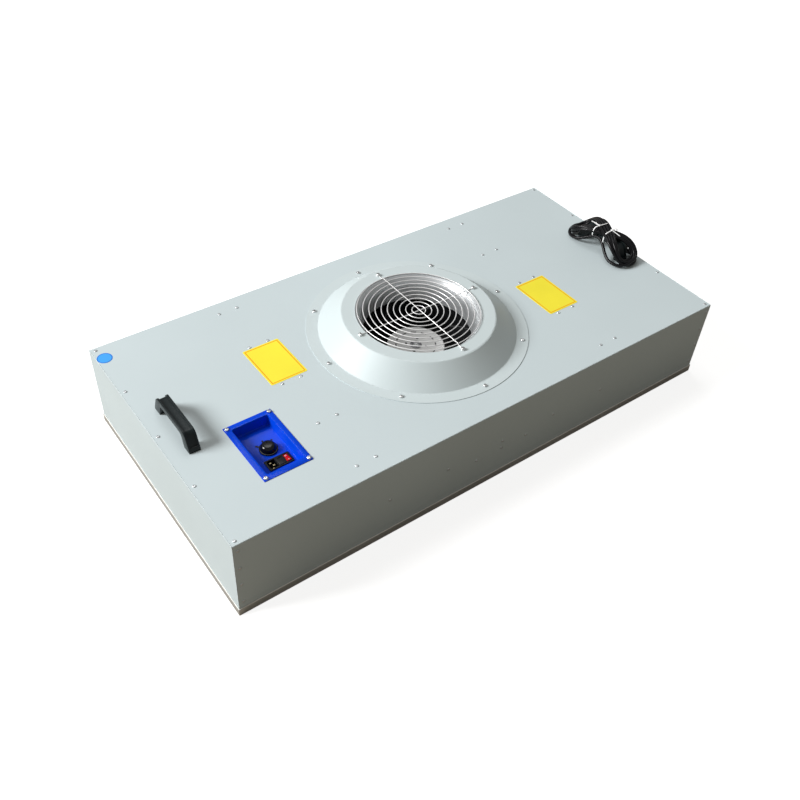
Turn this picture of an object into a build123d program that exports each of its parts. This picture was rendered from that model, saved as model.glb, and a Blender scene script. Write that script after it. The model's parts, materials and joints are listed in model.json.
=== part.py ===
"""Fan filter unit for a clean-room ceiling grid, in millimetres.

Frame: origin at the middle of the footprint on the plane the rim stands on,
+X towards the mains lead, -X towards the control tray, +Y to the back, +Z up.
"""

import os
from math import cos, pi, radians, sin

from build123d import *

os.makedirs("parts", exist_ok=True)

# ---------------------------------------------------------------- driving sizes
# Housing
unit_length = 1175.0
unit_width = 575.0
housing_height = 174.0
sheet = 1.2
bend_radius = 2.0
flange_width = 18.0
sheet_gap = 0.1  # between two folded panels that are riveted together
panel_tuck = 9.5  # from a panel edge to the middle of its rivets

# Rim that stands on the ceiling grid
rim_height = 16.0
rim_wall = 1.5
rim_overhang = 2.0

# Filter cassette
filter_gap = 2.0
filter_lift = 3.0
filter_depth = 50.0
filter_wall = 1.5
filter_lip = 15.0
pleat_pitch = 10.0
media_thickness = 0.6
media_gap = 0.3
guard_plate = 1.0
guard_columns = 16
guard_rows = 7
guard_bar = 4.0
gasket_depth = 5.0
gasket_width = 13.0
shelf_height = 9.0
clip_thickness = 1.5
clip_width = 24.0
clip_toe = 9.5
clip_spacing = 420.0

# Air inlet, radii about the fan axis
collar_hole_radius = 195.0
collar_flange_radius = 230.0
collar_base_radius = 205.0
collar_top_radius = 158.0
collar_mouth_radius = 130.0
collar_height = 40.0
collar_pcd = 435.0
collar_screw_count = 8
nozzle_sheet = 1.0
nozzle_flange_radius = 151.0
nozzle_roll_radius = 134.0
nozzle_throat_radius = 114.0
nozzle_curve_drop = 36.0
nozzle_reach = 18.0  # below the top face of the housing

# Wire guard over the inlet
wire = 2.0
ring_count = 10
first_ring_radius = 14.0
ring_pitch = 12.5
weld_bite = 0.3
guard_screw_radius = 143.5
guard_eye_radius = 3.4

# Fan deck and its bridge
deck_height = 88.0
deck_length = 580.0
deck_flange = 20.0
deck_lip = 10.0
bridge_width = 150.0
bridge_depth = 20.0
rib_spacing = 605.0
rib_width = 25.0
rib_depth = 22.0
rib_foot = 16.0

# External-rotor motor, stacked on the deck
base_radius = 55.0
base_thickness = 5.0
motor_pcd = 84.0
bearing_radius = 14.0
bearing_width = 8.0
shaft_radius = 6.0
running_fit = 0.05
tube_wall = 3.0
tube_height = 37.8
core_radius = 51.0
core_height = 24.0
core_teeth = 12
air_gap = 1.0
rotor_radius = 61.0
rotor_wall = 2.5
rotor_clearance = 3.8  # rotor rim above the motor base
rotor_height = 42.0
rotor_flange_radius = 72.0
rotor_flange = 2.0

# Impeller
impeller_radius = 140.0
impeller_sheet = 1.2
blade_count = 7
blade_inner_radius = 88.0
blade_outer_radius = 137.0
blade_sweep = 46.0
blade_thickness = 1.6
eye_radius = 118.0
eye_overlap = 6.0
blade_tip_height = 50.0
blade_root_height = 50.0
blade_seat = 0.7

# Control tray
tray_end_gap = 161.5
tray_front_gap = 166.0
tray_length = 98.0
tray_width = 151.0
pocket_shift = 1.0
pocket_length = 75.0
pocket_width = 127.0
pocket_depth = 23.0
pocket_taper = 4.0
pocket_corner = 5.0
tray_screw_dx = 86.6
tray_screw_dy = 139.0
box_depth = 76.5
box_sheet = 1.0

# Speed knob on its potentiometer
knob_shift_x, knob_shift_y = 5.0, 6.5
knob_radius = 17.5
knob_grip_radius = 15.5
knob_crown_radius = 12.0
knob_height = 13.0
knob_skirt = 2.6
knob_crown = 5.0
knob_pointer = 1.2
knob_gap = 0.6
spindle_radius = 3.0
bush_wall = 1.0
pot_radius = 11.0
pot_depth = 11.0
nut_across = 10.0
nut_height = 2.0

# Power inlet module: socket, fuse drawer and rocker in a row along X
inlet_shift_x, inlet_shift_y = 5.5, -30.0
inlet_length = 49.0
inlet_width = 25.0
inlet_bezel = 2.0
inlet_body_length = 46.0
inlet_body_width = 22.4
inlet_body_depth = 24.0
panel_cut_gap = 0.4
socket_length = 16.0
socket_width = 20.0
socket_depth = 16.0
drawer_length = 13.6
rocker_length = 8.8
module_web = 1.4
moving_gap = 0.3
rocker_pin_radius = 1.5
rocker_tilt = 9.0
fuse_radius = 2.5
fuse_length = 16.0

# Carrying handles
handle_inset = 47.5
handle_width = 22.0
handle_length = 138.0
handle_height = 39.0
handle_bar = 11.0
handle_foot = 20.0
handle_slope = 14.0
handle_groove = 15.0
handle_groove_depth = 2.5
handle_screw_spacing = 118.0

# Stickers
sticker = 0.3
label_length = 80.0
label_width = 115.0
label_left_x, label_left_y = -302.0, 63.5
label_right_x, label_right_y = 304.5, -63.5
round_sticker_radius = 15.0
round_sticker_end, round_sticker_side = 16.0, 39.0

# Fasteners
rivet_radius = 3.2
rivet_height = 1.4
rib_rivet_inset = 35.5
deck_rivet_inset = 19.0
bridge_rivet_inset = 11.0
m4_radius = 2.0
m4_head_radius = 4.0
m4_head_height = 2.6
m5_radius = 2.5
m5_head_radius = 4.8
m5_head_height = 3.2
m6_radius = 3.0
m6_head_radius = 5.5
m6_head_height = 4.0
hole_gap = 0.2

# ---------------------------------------------------------------- worked-out planes
half_length = unit_length / 2
half_width = unit_width / 2
top_z = rim_height + housing_height
under_top = top_z - sheet
inner_half_width = half_width - sheet
handle_x = half_length - handle_inset
tray_x = tray_end_gap - half_length
tray_y = tray_front_gap - half_width
pocket_x = tray_x + pocket_shift
pocket_y = tray_y + pocket_shift
knob_x = tray_x + knob_shift_x
knob_y = tray_y + knob_shift_y
inlet_x = tray_x + inlet_shift_x
inlet_y = tray_y + inlet_shift_y
round_sticker_x = round_sticker_end - half_length
round_sticker_y = half_width - round_sticker_side
opening_half_length = half_length - flange_width
opening_half_width = half_width - flange_width
filter_half_length = opening_half_length - filter_gap
filter_half_width = opening_half_width - filter_gap
shelf_z = filter_lift + filter_depth + gasket_depth
collar_top_z = top_z + collar_height
deck_top = deck_height + sheet
rotor_base_z = deck_top + base_thickness + rotor_clearance
rotor_top_z = rotor_base_z + rotor_height
plate_z = rotor_base_z + rotor_flange
blade_base_z = plate_z + impeller_sheet
floor_z = top_z + sheet - pocket_depth


def domed_screw(shank_radius, head_radius, head_height, reach):
    """Return a screw that stands on z = 0, its head up and its shank down."""
    with BuildPart() as screw:
        with BuildSketch(Plane.XZ):
            with BuildLine():
                Polyline(
                    (0, -reach),
                    (shank_radius, -reach),
                    (shank_radius, 0),
                    (head_radius, 0),
                    (head_radius, 0.5 * head_height),
                    (0.6 * head_radius, head_height),
                    (0, head_height),
                    close=True,
                )
            make_face()
        revolve(axis=Axis.Z)
    return screw.part


def save(part, label):
    """Label a finished piece and write it to its own STEP file."""
    part.label = label
    export_step(part, f"parts/{label}.step")


# ---------------------------------------------------------------- fastener places
rivet_x = half_length - panel_tuck
end_rivet_pitch = (half_width - panel_tuck) / 2
rib_rivet_pitch = (half_width - rib_rivet_inset) / 2
deck_rivet_pitch = (deck_length / 2 - deck_rivet_inset) / 2
bridge_rivet_pitch = bridge_width / 2 - bridge_rivet_inset
end_rivets = [(x, y) for x in (-rivet_x, rivet_x) for y in (-end_rivet_pitch, 0, end_rivet_pitch)]
corner_rivets = [
    (x, y)
    for x in (-rivet_x, rivet_x)
    for y in (panel_tuck - half_width, half_width - panel_tuck)
]
rib_foot_offset = (rib_width + rib_foot) / 2
rib_rivets = [
    (side * (rib_spacing / 2) + foot * rib_foot_offset, y)
    for side in (-1, 1)
    for foot in (-1, 1)
    for y in (-2 * rib_rivet_pitch, -rib_rivet_pitch, 0, rib_rivet_pitch, 2 * rib_rivet_pitch)
]
deck_rivet_z = deck_height + 0.55 * deck_flange
bridge_rivet_z = deck_height - 0.4 * bridge_depth
post_rivets = [
    (x, rim_height + share * housing_height)
    for x in (-rivet_x, rivet_x)
    for share in (0.1, 0.38, 0.64, 0.91)
]
side_rivet_spots = (
    [(step * deck_rivet_pitch, deck_rivet_z) for step in (-2, -1, 0, 1, 2)]
    + [(step * bridge_rivet_pitch, bridge_rivet_z) for step in (-1, 0, 1)]
    + post_rivets
)
tray_screw_spots = [
    (tray_x + dx * tray_screw_dx / 2, tray_y + dy * tray_screw_dy / 2)
    for dx, dy in ((-1, -1), (1, -1), (1, 1), (-1, 1))
]
handle_screw_spots = [
    (x, y)
    for x in (-handle_x, handle_x)
    for y in (-handle_screw_spacing / 2, handle_screw_spacing / 2)
]
clip_inset = (flange_width + filter_gap) / 2 + 0.5
clip_y = half_width - clip_inset
clip_x = half_length - clip_inset
clip_spots = [(x, s * clip_y, 90 * s) for s in (-1, 1) for x in (-clip_spacing, 0, clip_spacing)]
clip_spots += [(-clip_x, 0, 180), (clip_x, 0, 0)]

# ---------------------------------------------------------------- housing
# Top and both long sides are one folded sheet with a return flange at each foot.
with BuildPart() as housing_shell:
    with BuildSketch(Plane.XY.offset(rim_height)):
        Rectangle(unit_length, unit_width)
    extrude(amount=housing_height)
    fillet(housing_shell.edges().filter_by(Axis.X).group_by(Axis.Z)[-1], bend_radius)
    shell_ends = housing_shell.faces().filter_by(Axis.X).sort_by(Axis.X)
    shell_foot = housing_shell.faces().sort_by(Axis.Z)[0]
    offset(amount=-sheet, openings=[shell_ends[0], shell_ends[-1], shell_foot])
    with BuildSketch(Plane.XY.offset(rim_height)):
        with GridLocations(0, unit_width - flange_width, 1, 2):
            Rectangle(unit_length - 2 * (flange_width + sheet_gap), flange_width)
    extrude(amount=sheet)
    with BuildSketch(Plane.XY.offset(under_top)):
        Circle(collar_hole_radius)
        with PolarLocations(collar_pcd / 2, collar_screw_count):
            Circle(m4_radius + hole_gap)
        with Locations((pocket_x, pocket_y)):
            Rectangle(pocket_length + 2 * sheet + 2, pocket_width + 2 * sheet + 2)
        with Locations(*tray_screw_spots):
            Circle(m4_radius + hole_gap)
        with Locations(*handle_screw_spots):
            Circle(m6_radius + hole_gap)
    extrude(amount=sheet, mode=Mode.SUBTRACT)
    with BuildSketch(Plane.XY.offset(rim_height)):
        with Locations(*[(x, y) for x, y, _ in clip_spots[:6]]):
            Circle(m4_radius + hole_gap)
    extrude(amount=sheet, mode=Mode.SUBTRACT)
save(housing_shell.part, "housing_shell")

# Each end is a flanged pan that slips inside the fold of the shell.
with BuildPart() as end_panel_left:
    with BuildSketch(Plane.YZ.offset(-half_length)):
        with Locations((0, (rim_height + under_top - sheet_gap) / 2)):
            RectangleRounded(
                2 * (inner_half_width - sheet_gap),
                under_top - sheet_gap - rim_height,
                bend_radius,
            )
    extrude(amount=flange_width)
    offset(amount=-sheet, openings=end_panel_left.faces().sort_by(Axis.X)[-1])
    with BuildSketch(Plane.XY.offset(rim_height)):
        with Locations((-clip_x, 0)):
            Circle(m4_radius + hole_gap)
    extrude(amount=sheet, mode=Mode.SUBTRACT)
save(end_panel_left.part, "end_panel_left")

with BuildPart() as end_panel_right:
    mirror(end_panel_left.part, about=Plane.YZ)
save(end_panel_right.part, "end_panel_right")

# Hat-section ribs stiffen the top on either side of the inlet.
for rib_label, rib_side in (("top_rib_left", -1), ("top_rib_right", 1)):
    rib_middle = rib_side * rib_spacing / 2
    hat_outer = rib_width / 2 - sheet / 2
    with BuildPart() as top_rib:
        with BuildSketch(Plane.XZ):
            with BuildLine():
                Polyline(
                    (rib_middle - hat_outer - rib_foot, under_top - sheet / 2),
                    (rib_middle - hat_outer, under_top - sheet / 2),
                    (rib_middle - hat_outer, under_top - rib_depth),
                    (rib_middle + hat_outer, under_top - rib_depth),
                    (rib_middle + hat_outer, under_top - sheet / 2),
                    (rib_middle + hat_outer + rib_foot, under_top - sheet / 2),
                )
            trace(line_width=sheet)
        extrude(amount=inner_half_width - sheet, both=True)
    save(top_rib.part, rib_label)

with BuildPart() as top_rivets:
    with BuildSketch(Plane.XY.offset(top_z)):
        with Locations(*end_rivets, *corner_rivets, *rib_rivets):
            Circle(rivet_radius)
    extrude(amount=rivet_height, taper=35)
save(top_rivets.part, "top_rivets")

with BuildPart() as side_rivets:
    for rivet_plane in (
        Plane((0, -half_width, 0), x_dir=(1, 0, 0), z_dir=(0, -1, 0)),
        Plane((0, half_width, 0), x_dir=(-1, 0, 0), z_dir=(0, 1, 0)),
    ):
        with BuildSketch(rivet_plane):
            with Locations(*side_rivet_spots):
                Circle(rivet_radius)
        extrude(amount=rivet_height, taper=35)
save(side_rivets.part, "side_rivets")

# The rim is an angle section, a little wider than the housing it carries.
with BuildPart() as base_rim:
    with BuildSketch():
        Rectangle(unit_length + 2 * rim_overhang, unit_width + 2 * rim_overhang)
        Rectangle(
            unit_length + 2 * (rim_overhang - rim_wall),
            unit_width + 2 * (rim_overhang - rim_wall),
            mode=Mode.SUBTRACT,
        )
    extrude(amount=rim_height)
    with BuildSketch(Plane.XY.offset(rim_height - rim_wall)):
        Rectangle(unit_length + 2 * rim_overhang, unit_width + 2 * rim_overhang)
        Rectangle(2 * opening_half_length, 2 * opening_half_width, mode=Mode.SUBTRACT)
        with Locations(*[(x, y) for x, y, _ in clip_spots]):
            Circle(m4_radius + hole_gap, mode=Mode.SUBTRACT)
    extrude(amount=rim_wall)
    rim_corners = base_rim.edges().filter_by(Axis.Z)
    outer_corners = rim_corners.filter_by(lambda e: abs(e.center().X) > half_length + 1)
    fillet(outer_corners, rim_wall)
save(base_rim.part, "base_rim")

# ---------------------------------------------------------------- filter cassette
with BuildPart() as filter_frame:
    with BuildSketch(Plane.XY.offset(filter_lift)):
        Rectangle(2 * filter_half_length, 2 * filter_half_width)
        Rectangle(
            2 * (filter_half_length - filter_wall),
            2 * (filter_half_width - filter_wall),
            mode=Mode.SUBTRACT,
        )
    extrude(amount=filter_depth)
    for lip_z in (filter_lift, filter_lift + filter_depth - filter_wall):
        with BuildSketch(Plane.XY.offset(lip_z)):
            Rectangle(2 * filter_half_length, 2 * filter_half_width)
            Rectangle(
                2 * (filter_half_length - filter_lip),
                2 * (filter_half_width - filter_lip),
                mode=Mode.SUBTRACT,
            )
        extrude(amount=filter_wall)
save(filter_frame.part, "filter_frame")

pack_half_length = filter_half_length - filter_wall - media_gap
pack_half_width = filter_half_width - filter_wall - media_gap
guard_z = filter_lift + filter_wall
with BuildPart() as outlet_guard:
    with BuildSketch(Plane.XY.offset(guard_z)):
        Rectangle(2 * pack_half_length, 2 * pack_half_width)
        column_pitch = 2 * (filter_half_length - filter_lip) / guard_columns
        row_pitch = 2 * (filter_half_width - filter_lip) / guard_rows
        with GridLocations(column_pitch, row_pitch, guard_columns, guard_rows):
            Rectangle(column_pitch - guard_bar, row_pitch - guard_bar, mode=Mode.SUBTRACT)
    extrude(amount=guard_plate)
save(outlet_guard.part, "outlet_guard")

# One folded sheet of glass paper: the fold lines run across the unit.
media_low = guard_z + guard_plate + media_gap
media_high = filter_lift + filter_depth - filter_wall - media_gap
fold_count = 2 * int(pack_half_length / pleat_pitch) * 2
fold_step = 2 * pack_half_length / fold_count
fold_lift = media_thickness * ((media_high - media_low) / fold_step)
lower_folds = [
    (i * fold_step - pack_half_length,
     media_low if i % 2 == 0 else media_high - fold_lift)
    for i in range(fold_count + 1)
]
upper_folds = [(x, z + fold_lift) for x, z in reversed(lower_folds)]
with BuildPart() as filter_media:
    with BuildSketch(Plane.XZ):
        with BuildLine():
            Polyline(*lower_folds, *upper_folds, close=True)
        make_face()
    extrude(amount=pack_half_width, both=True)
save(filter_media.part, "filter_media")

with BuildPart() as filter_gasket:
    with BuildSketch(Plane.XY.offset(filter_lift + filter_depth)):
        Rectangle(2 * filter_half_length, 2 * filter_half_width)
        Rectangle(
            2 * (filter_half_length - gasket_width),
            2 * (filter_half_width - gasket_width),
            mode=Mode.SUBTRACT,
        )
    extrude(amount=gasket_depth)
save(filter_gasket.part, "filter_gasket")

# Welded angle frame that the gasket is pressed against.
shelf_half_length = half_length - sheet
with BuildPart() as seal_shelf:
    with BuildSketch(Plane.XY.offset(shelf_z)) as shelf_outline:
        Rectangle(2 * shelf_half_length, 2 * inner_half_width)
        with GridLocations(2 * half_length, 2 * half_width, 2, 2):
            Rectangle(
                2 * (flange_width + sheet_gap),
                2 * (2 * sheet + 2 * sheet_gap),
                mode=Mode.SUBTRACT,
            )
    extrude(amount=shelf_height)
    with BuildSketch(Plane.XY.offset(shelf_z + sheet)):
        add(shelf_outline.sketch.faces()[0].moved(Location((0, 0, -shelf_z))))
        offset(amount=-sheet, kind=Kind.INTERSECTION)
    extrude(amount=shelf_height, mode=Mode.SUBTRACT)
    with BuildSketch(Plane.XY.offset(shelf_z)):
        Rectangle(
            2 * (filter_half_length - filter_lip), 2 * (filter_half_width - filter_lip)
        )
    extrude(amount=sheet, mode=Mode.SUBTRACT)
save(seal_shelf.part, "seal_shelf")

# Z-shaped clips under the rim lip hold the cassette up.
lip_under = rim_height - rim_wall
clip_half = clip_thickness / 2
clip_leg = clip_inset - flange_width - filter_gap / 2 + 1.25
with BuildPart() as filter_clips:
    for clip_cx, clip_cy, clip_turn in clip_spots:
        outward = Vector(cos(radians(clip_turn)), sin(radians(clip_turn)), 0)
        clip_plane = Plane(
            (clip_cx, clip_cy, 0), x_dir=outward, z_dir=outward.cross(Vector(0, 0, 1))
        )
        with BuildSketch(clip_plane):
            with BuildLine():
                Polyline(
                    (clip_inset - rim_wall, lip_under - clip_half),
                    (clip_leg, lip_under - clip_half),
                    (clip_leg, filter_lift - clip_half),
                    (clip_leg - clip_toe, filter_lift - clip_half),
                )
            trace(line_width=clip_thickness)
        extrude(amount=clip_width / 2, both=True)
    with BuildSketch(Plane.XY.offset(lip_under - clip_thickness)):
        with Locations(*[(x, y) for x, y, _ in clip_spots]):
            Circle(m4_radius + hole_gap)
    extrude(amount=clip_thickness, mode=Mode.SUBTRACT)
save(filter_clips.part, "filter_clips")

clip_screw = domed_screw(
    m4_radius, m4_head_radius, m4_head_height, clip_thickness + rim_wall + sheet + 3
)
with BuildPart() as clip_screws:
    with Locations(Plane.XY.offset(lip_under - clip_thickness).rotated((180, 0, 0))):
        with Locations(*[(x, -y) for x, y, _ in clip_spots]):
            add(clip_screw)
save(clip_screws.part, "clip_screws")

# ---------------------------------------------------------------- air inlet
# Spun collar: flat flange, cone and flat top ring from one disc.
half_sheet = sheet / 2
with BuildPart() as inlet_collar:
    with BuildSketch(Plane.XZ):
        with BuildLine():
            FilletPolyline(
                (collar_flange_radius, top_z + half_sheet),
                (collar_base_radius, top_z + half_sheet),
                (collar_top_radius, collar_top_z - half_sheet),
                (collar_mouth_radius, collar_top_z - half_sheet),
                radius=4,
            )
        trace(line_width=sheet)
    revolve(axis=Axis.Z)
    with BuildSketch(Plane.XY.offset(top_z)):
        with PolarLocations(collar_pcd / 2, collar_screw_count):
            Circle(m4_radius + hole_gap)
    extrude(amount=sheet, mode=Mode.SUBTRACT)
    with BuildSketch(Plane.XY.offset(collar_top_z)):
        with PolarLocations(guard_screw_radius, 4):
            Circle(m4_radius + hole_gap)
    extrude(amount=-sheet, mode=Mode.SUBTRACT)
save(inlet_collar.part, "inlet_collar")

collar_screw = domed_screw(m4_radius, m4_head_radius, m4_head_height, 2 * sheet + 4)
with BuildPart() as collar_screws:
    with Locations(Plane.XY.offset(top_z + sheet)):
        with PolarLocations(collar_pcd / 2, collar_screw_count):
            add(collar_screw)
save(collar_screws.part, "collar_screws")

# Bell mouth: a quarter ellipse from its flange down to the throat.
nozzle_half = nozzle_sheet / 2
nozzle_top = collar_top_z - sheet - nozzle_half
bell_width = nozzle_roll_radius - nozzle_throat_radius
with BuildPart() as inlet_nozzle:
    with BuildSketch(Plane.XZ):
        with BuildLine():
            bell = EllipticalCenterArc(
                (nozzle_roll_radius + nozzle_half, nozzle_top - nozzle_curve_drop),
                bell_width,
                nozzle_curve_drop,
                start_angle=90,
                arc_size=90,
            )
            Line((nozzle_flange_radius, nozzle_top), bell @ 0)
            Line(bell @ 1, (nozzle_throat_radius + nozzle_half, top_z - nozzle_reach))
        trace(line_width=nozzle_sheet)
    revolve(axis=Axis.Z)
    with BuildSketch(Plane.XY.offset(nozzle_top + nozzle_half)):
        with PolarLocations(guard_screw_radius, 4):
            Circle(m4_radius + hole_gap)
    extrude(amount=-nozzle_sheet, mode=Mode.SUBTRACT)
save(inlet_nozzle.part, "inlet_nozzle")

# Rings lie between the two spokes: one spoke passes under them, one over.
wire_radius = wire / 2
under_spoke_z = collar_top_z + wire_radius
ring_z = under_spoke_z + wire - weld_bite
over_spoke_z = ring_z + wire - weld_bite
last_ring_radius = first_ring_radius + (ring_count - 1) * ring_pitch
spoke_end = guard_screw_radius - guard_eye_radius
with BuildPart() as finger_guard:
    for ring in range(ring_count):
        with BuildSketch(Plane.XZ):
            with Locations((first_ring_radius + ring * ring_pitch, ring_z)):
                RegularPolygon(wire_radius, 8, major_radius=False, rotation=22.5)
        revolve(axis=Axis.Z)
    with BuildLine() as under_spoke:
        Line((-spoke_end, 0, under_spoke_z), (spoke_end, 0, under_spoke_z))
    with BuildSketch(Plane((-spoke_end, 0, under_spoke_z), x_dir=(0, 1, 0), z_dir=(1, 0, 0))):
        RegularPolygon(wire_radius, 8, major_radius=False, rotation=22.5)
    sweep(path=under_spoke.line)
    with BuildLine() as over_spoke:
        Polyline(
            (0, -spoke_end, under_spoke_z),
            (0, -last_ring_radius - 2 * wire, under_spoke_z),
            (0, -last_ring_radius, over_spoke_z),
            (0, last_ring_radius, over_spoke_z),
            (0, last_ring_radius + 2 * wire, under_spoke_z),
            (0, spoke_end, under_spoke_z),
        )
    with BuildSketch(Plane((0, -spoke_end, under_spoke_z), x_dir=(1, 0, 0), z_dir=(0, 1, 0))):
        RegularPolygon(wire_radius, 8, major_radius=False, rotation=22.5)
    sweep(path=over_spoke.line, transition=Transition.RIGHT)
    with BuildSketch(Plane.XY.offset(collar_top_z)):
        with PolarLocations(guard_screw_radius, 4):
            Circle(guard_eye_radius + wire_radius)
            Circle(guard_eye_radius - wire_radius, mode=Mode.SUBTRACT)
    extrude(amount=wire)
save(finger_guard.part, "finger_guard")

guard_screw = domed_screw(
    m4_radius, m4_head_radius, m4_head_height, wire + sheet + nozzle_sheet + 3
)
with BuildPart() as guard_screws:
    with Locations(Plane.XY.offset(collar_top_z + wire)):
        with PolarLocations(guard_screw_radius, 4):
            add(guard_screw)
save(guard_screws.part, "guard_screws")

# ---------------------------------------------------------------- fan deck
motor_screw_spots = PolarLocations(motor_pcd / 2, 4, start_angle=45)
with BuildPart() as fan_deck:
    deck_half_width = inner_half_width - sheet_gap
    with BuildSketch(Plane.YZ):
        with BuildLine():
            Polyline(
                (half_sheet - deck_half_width, deck_height + deck_flange),
                (half_sheet - deck_half_width, deck_height + half_sheet),
                (deck_half_width - half_sheet, deck_height + half_sheet),
                (deck_half_width - half_sheet, deck_height + deck_flange),
            )
        trace(line_width=sheet)
    extrude(amount=deck_length / 2, both=True)
    with BuildSketch(Plane.XY.offset(deck_height - deck_lip)):
        with GridLocations(deck_length - sheet, 0, 2, 1):
            Rectangle(sheet, 2 * deck_half_width)
    extrude(amount=deck_lip + sheet)
    with BuildSketch(Plane.XY.offset(deck_height)):
        with motor_screw_spots:
            Circle(m5_radius + hole_gap)
    extrude(amount=sheet, mode=Mode.SUBTRACT)
save(fan_deck.part, "fan_deck")

with BuildPart() as motor_bridge:
    with BuildSketch(Plane.XY.offset(deck_height)):
        Rectangle(bridge_width, 2 * (inner_half_width - sheet_gap))
    extrude(amount=-bridge_depth)
    offset(amount=-sheet, openings=motor_bridge.faces().sort_by(Axis.Z)[0])
    with BuildSketch(Plane.XY.offset(deck_height)):
        with motor_screw_spots:
            Circle(m5_radius + hole_gap)
    extrude(amount=-sheet, mode=Mode.SUBTRACT)
save(motor_bridge.part, "motor_bridge")

# ---------------------------------------------------------------- motor
tube_radius = bearing_radius + tube_wall
tube_base_z = deck_top + base_thickness
tube_top_z = tube_base_z + tube_height
lower_bearing_z = tube_base_z + 2
upper_bearing_z = tube_top_z - bearing_width - 1
screw_grip = base_thickness - 1
with BuildPart() as motor_base:
    with BuildSketch(Plane.XY.offset(deck_top)):
        Circle(base_radius)
    extrude(amount=base_thickness)
    chamfer(motor_base.edges().group_by(Axis.Z)[-1], 1)
    with BuildSketch(Plane.XY.offset(tube_base_z)):
        Circle(tube_radius)
    extrude(amount=tube_height)
    with BuildSketch(Plane.XY.offset(tube_base_z)):
        Circle(bearing_radius)
    extrude(amount=tube_height, mode=Mode.SUBTRACT)
    with BuildSketch(Plane.XY.offset(tube_base_z)):
        Circle(bearing_radius - 2)
    extrude(amount=-1, mode=Mode.SUBTRACT)
    with BuildSketch(Plane.XY.offset(tube_base_z)):
        Circle(bearing_radius)
        Circle(bearing_radius - 2, mode=Mode.SUBTRACT)
    extrude(amount=lower_bearing_z - tube_base_z)
    with BuildSketch(Plane.XY.offset(deck_top)):
        with motor_screw_spots:
            Circle(m5_radius + hole_gap)
    extrude(amount=screw_grip, mode=Mode.SUBTRACT)
save(motor_base.part, "motor_base")

motor_screw = domed_screw(
    m5_radius, m5_head_radius, m5_head_height, 2 * sheet + screw_grip - 0.5
)
with BuildPart() as motor_screws:
    with Locations(Plane.XY.offset(deck_height - sheet).rotated((180, 0, 0))):
        with PolarLocations(motor_pcd / 2, 4, start_angle=45):
            add(motor_screw)
save(motor_screws.part, "motor_screws")

with BuildPart() as motor_bearings:
    for bearing_z in (lower_bearing_z, upper_bearing_z):
        with BuildSketch(Plane.XY.offset(bearing_z)):
            Circle(bearing_radius)
            Circle(shaft_radius + running_fit, mode=Mode.SUBTRACT)
        extrude(amount=bearing_width)
save(motor_bearings.part, "motor_bearings")

# Laminated core: a ring with open slots between its teeth.
core_z = tube_base_z + 11
slot_width = 5.0
slot_root = tube_radius + 12
with BuildPart() as motor_core:
    with BuildSketch(Plane.XY.offset(core_z)):
        Circle(core_radius)
        Circle(tube_radius, mode=Mode.SUBTRACT)
        with PolarLocations((slot_root + core_radius) / 2 + 1, core_teeth):
            Rectangle(core_radius - slot_root + 2, slot_width, mode=Mode.SUBTRACT)
    extrude(amount=core_height)
save(motor_core.part, "motor_core")

winding_depth = 4.5
with BuildPart() as motor_winding:
    for winding_z in (core_z - winding_depth, core_z + core_height):
        with BuildSketch(Plane.XY.offset(winding_z)):
            Circle(core_radius - 4)
            Circle(slot_root - 4, mode=Mode.SUBTRACT)
        extrude(amount=winding_depth)
save(motor_winding.part, "motor_winding")

rotor_inner_radius = rotor_radius - rotor_wall
hub_radius = 2 * shaft_radius
with BuildPart() as rotor_can:
    with BuildSketch(Plane.XZ):
        with BuildLine():
            Polyline(
                (shaft_radius, tube_top_z + 1),
                (hub_radius, tube_top_z + 1),
                (hub_radius, rotor_top_z - rotor_wall),
                (rotor_inner_radius, rotor_top_z - rotor_wall),
                (rotor_inner_radius, rotor_base_z),
                (rotor_flange_radius, rotor_base_z),
                (rotor_flange_radius, rotor_base_z + rotor_flange),
                (rotor_radius, rotor_base_z + rotor_flange),
                (rotor_radius, rotor_top_z),
                (shaft_radius, rotor_top_z),
                close=True,
            )
        make_face()
    revolve(axis=Axis.Z)
    chamfer(
        rotor_can.edges().filter_by(GeomType.CIRCLE).group_by(Axis.Z)[-1].sort_by(SortBy.RADIUS)[-1],
        1.5,
    )
    with BuildSketch(Plane.XY.offset(rotor_top_z)):
        with PolarLocations(0.69 * rotor_radius, 12):
            Rectangle(3, 12)
    extrude(amount=-0.8, mode=Mode.SUBTRACT)
save(rotor_can.part, "rotor_can")

with BuildPart() as magnet_ring:
    with BuildSketch(Plane.XY.offset(core_z - 2)):
        Circle(rotor_inner_radius)
        Circle(core_radius + air_gap, mode=Mode.SUBTRACT)
    extrude(amount=core_height + 4)
save(magnet_ring.part, "magnet_ring")

with BuildPart() as motor_shaft:
    with BuildSketch(Plane.XY.offset(lower_bearing_z)):
        Circle(shaft_radius)
    extrude(amount=rotor_top_z + 1 - lower_bearing_z)
    chamfer(motor_shaft.edges().group_by(Axis.Z)[-1], 0.6)
save(motor_shaft.part, "motor_shaft")

# ---------------------------------------------------------------- impeller
impeller_rivet_radius = (rotor_radius + rotor_flange_radius) / 2
with BuildPart() as impeller_back_plate:
    with BuildSketch(Plane.XY.offset(plate_z)):
        Circle(impeller_radius)
        Circle(rotor_radius + hole_gap, mode=Mode.SUBTRACT)
    extrude(amount=impeller_sheet)
save(impeller_back_plate.part, "impeller_back_plate")

with BuildPart() as impeller_rivets:
    with BuildSketch(Plane.XY.offset(blade_base_z)):
        with PolarLocations(impeller_rivet_radius, 6):
            Circle(rivet_radius)
    extrude(amount=rivet_height, taper=35)
save(impeller_rivets.part, "impeller_rivets")

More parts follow.
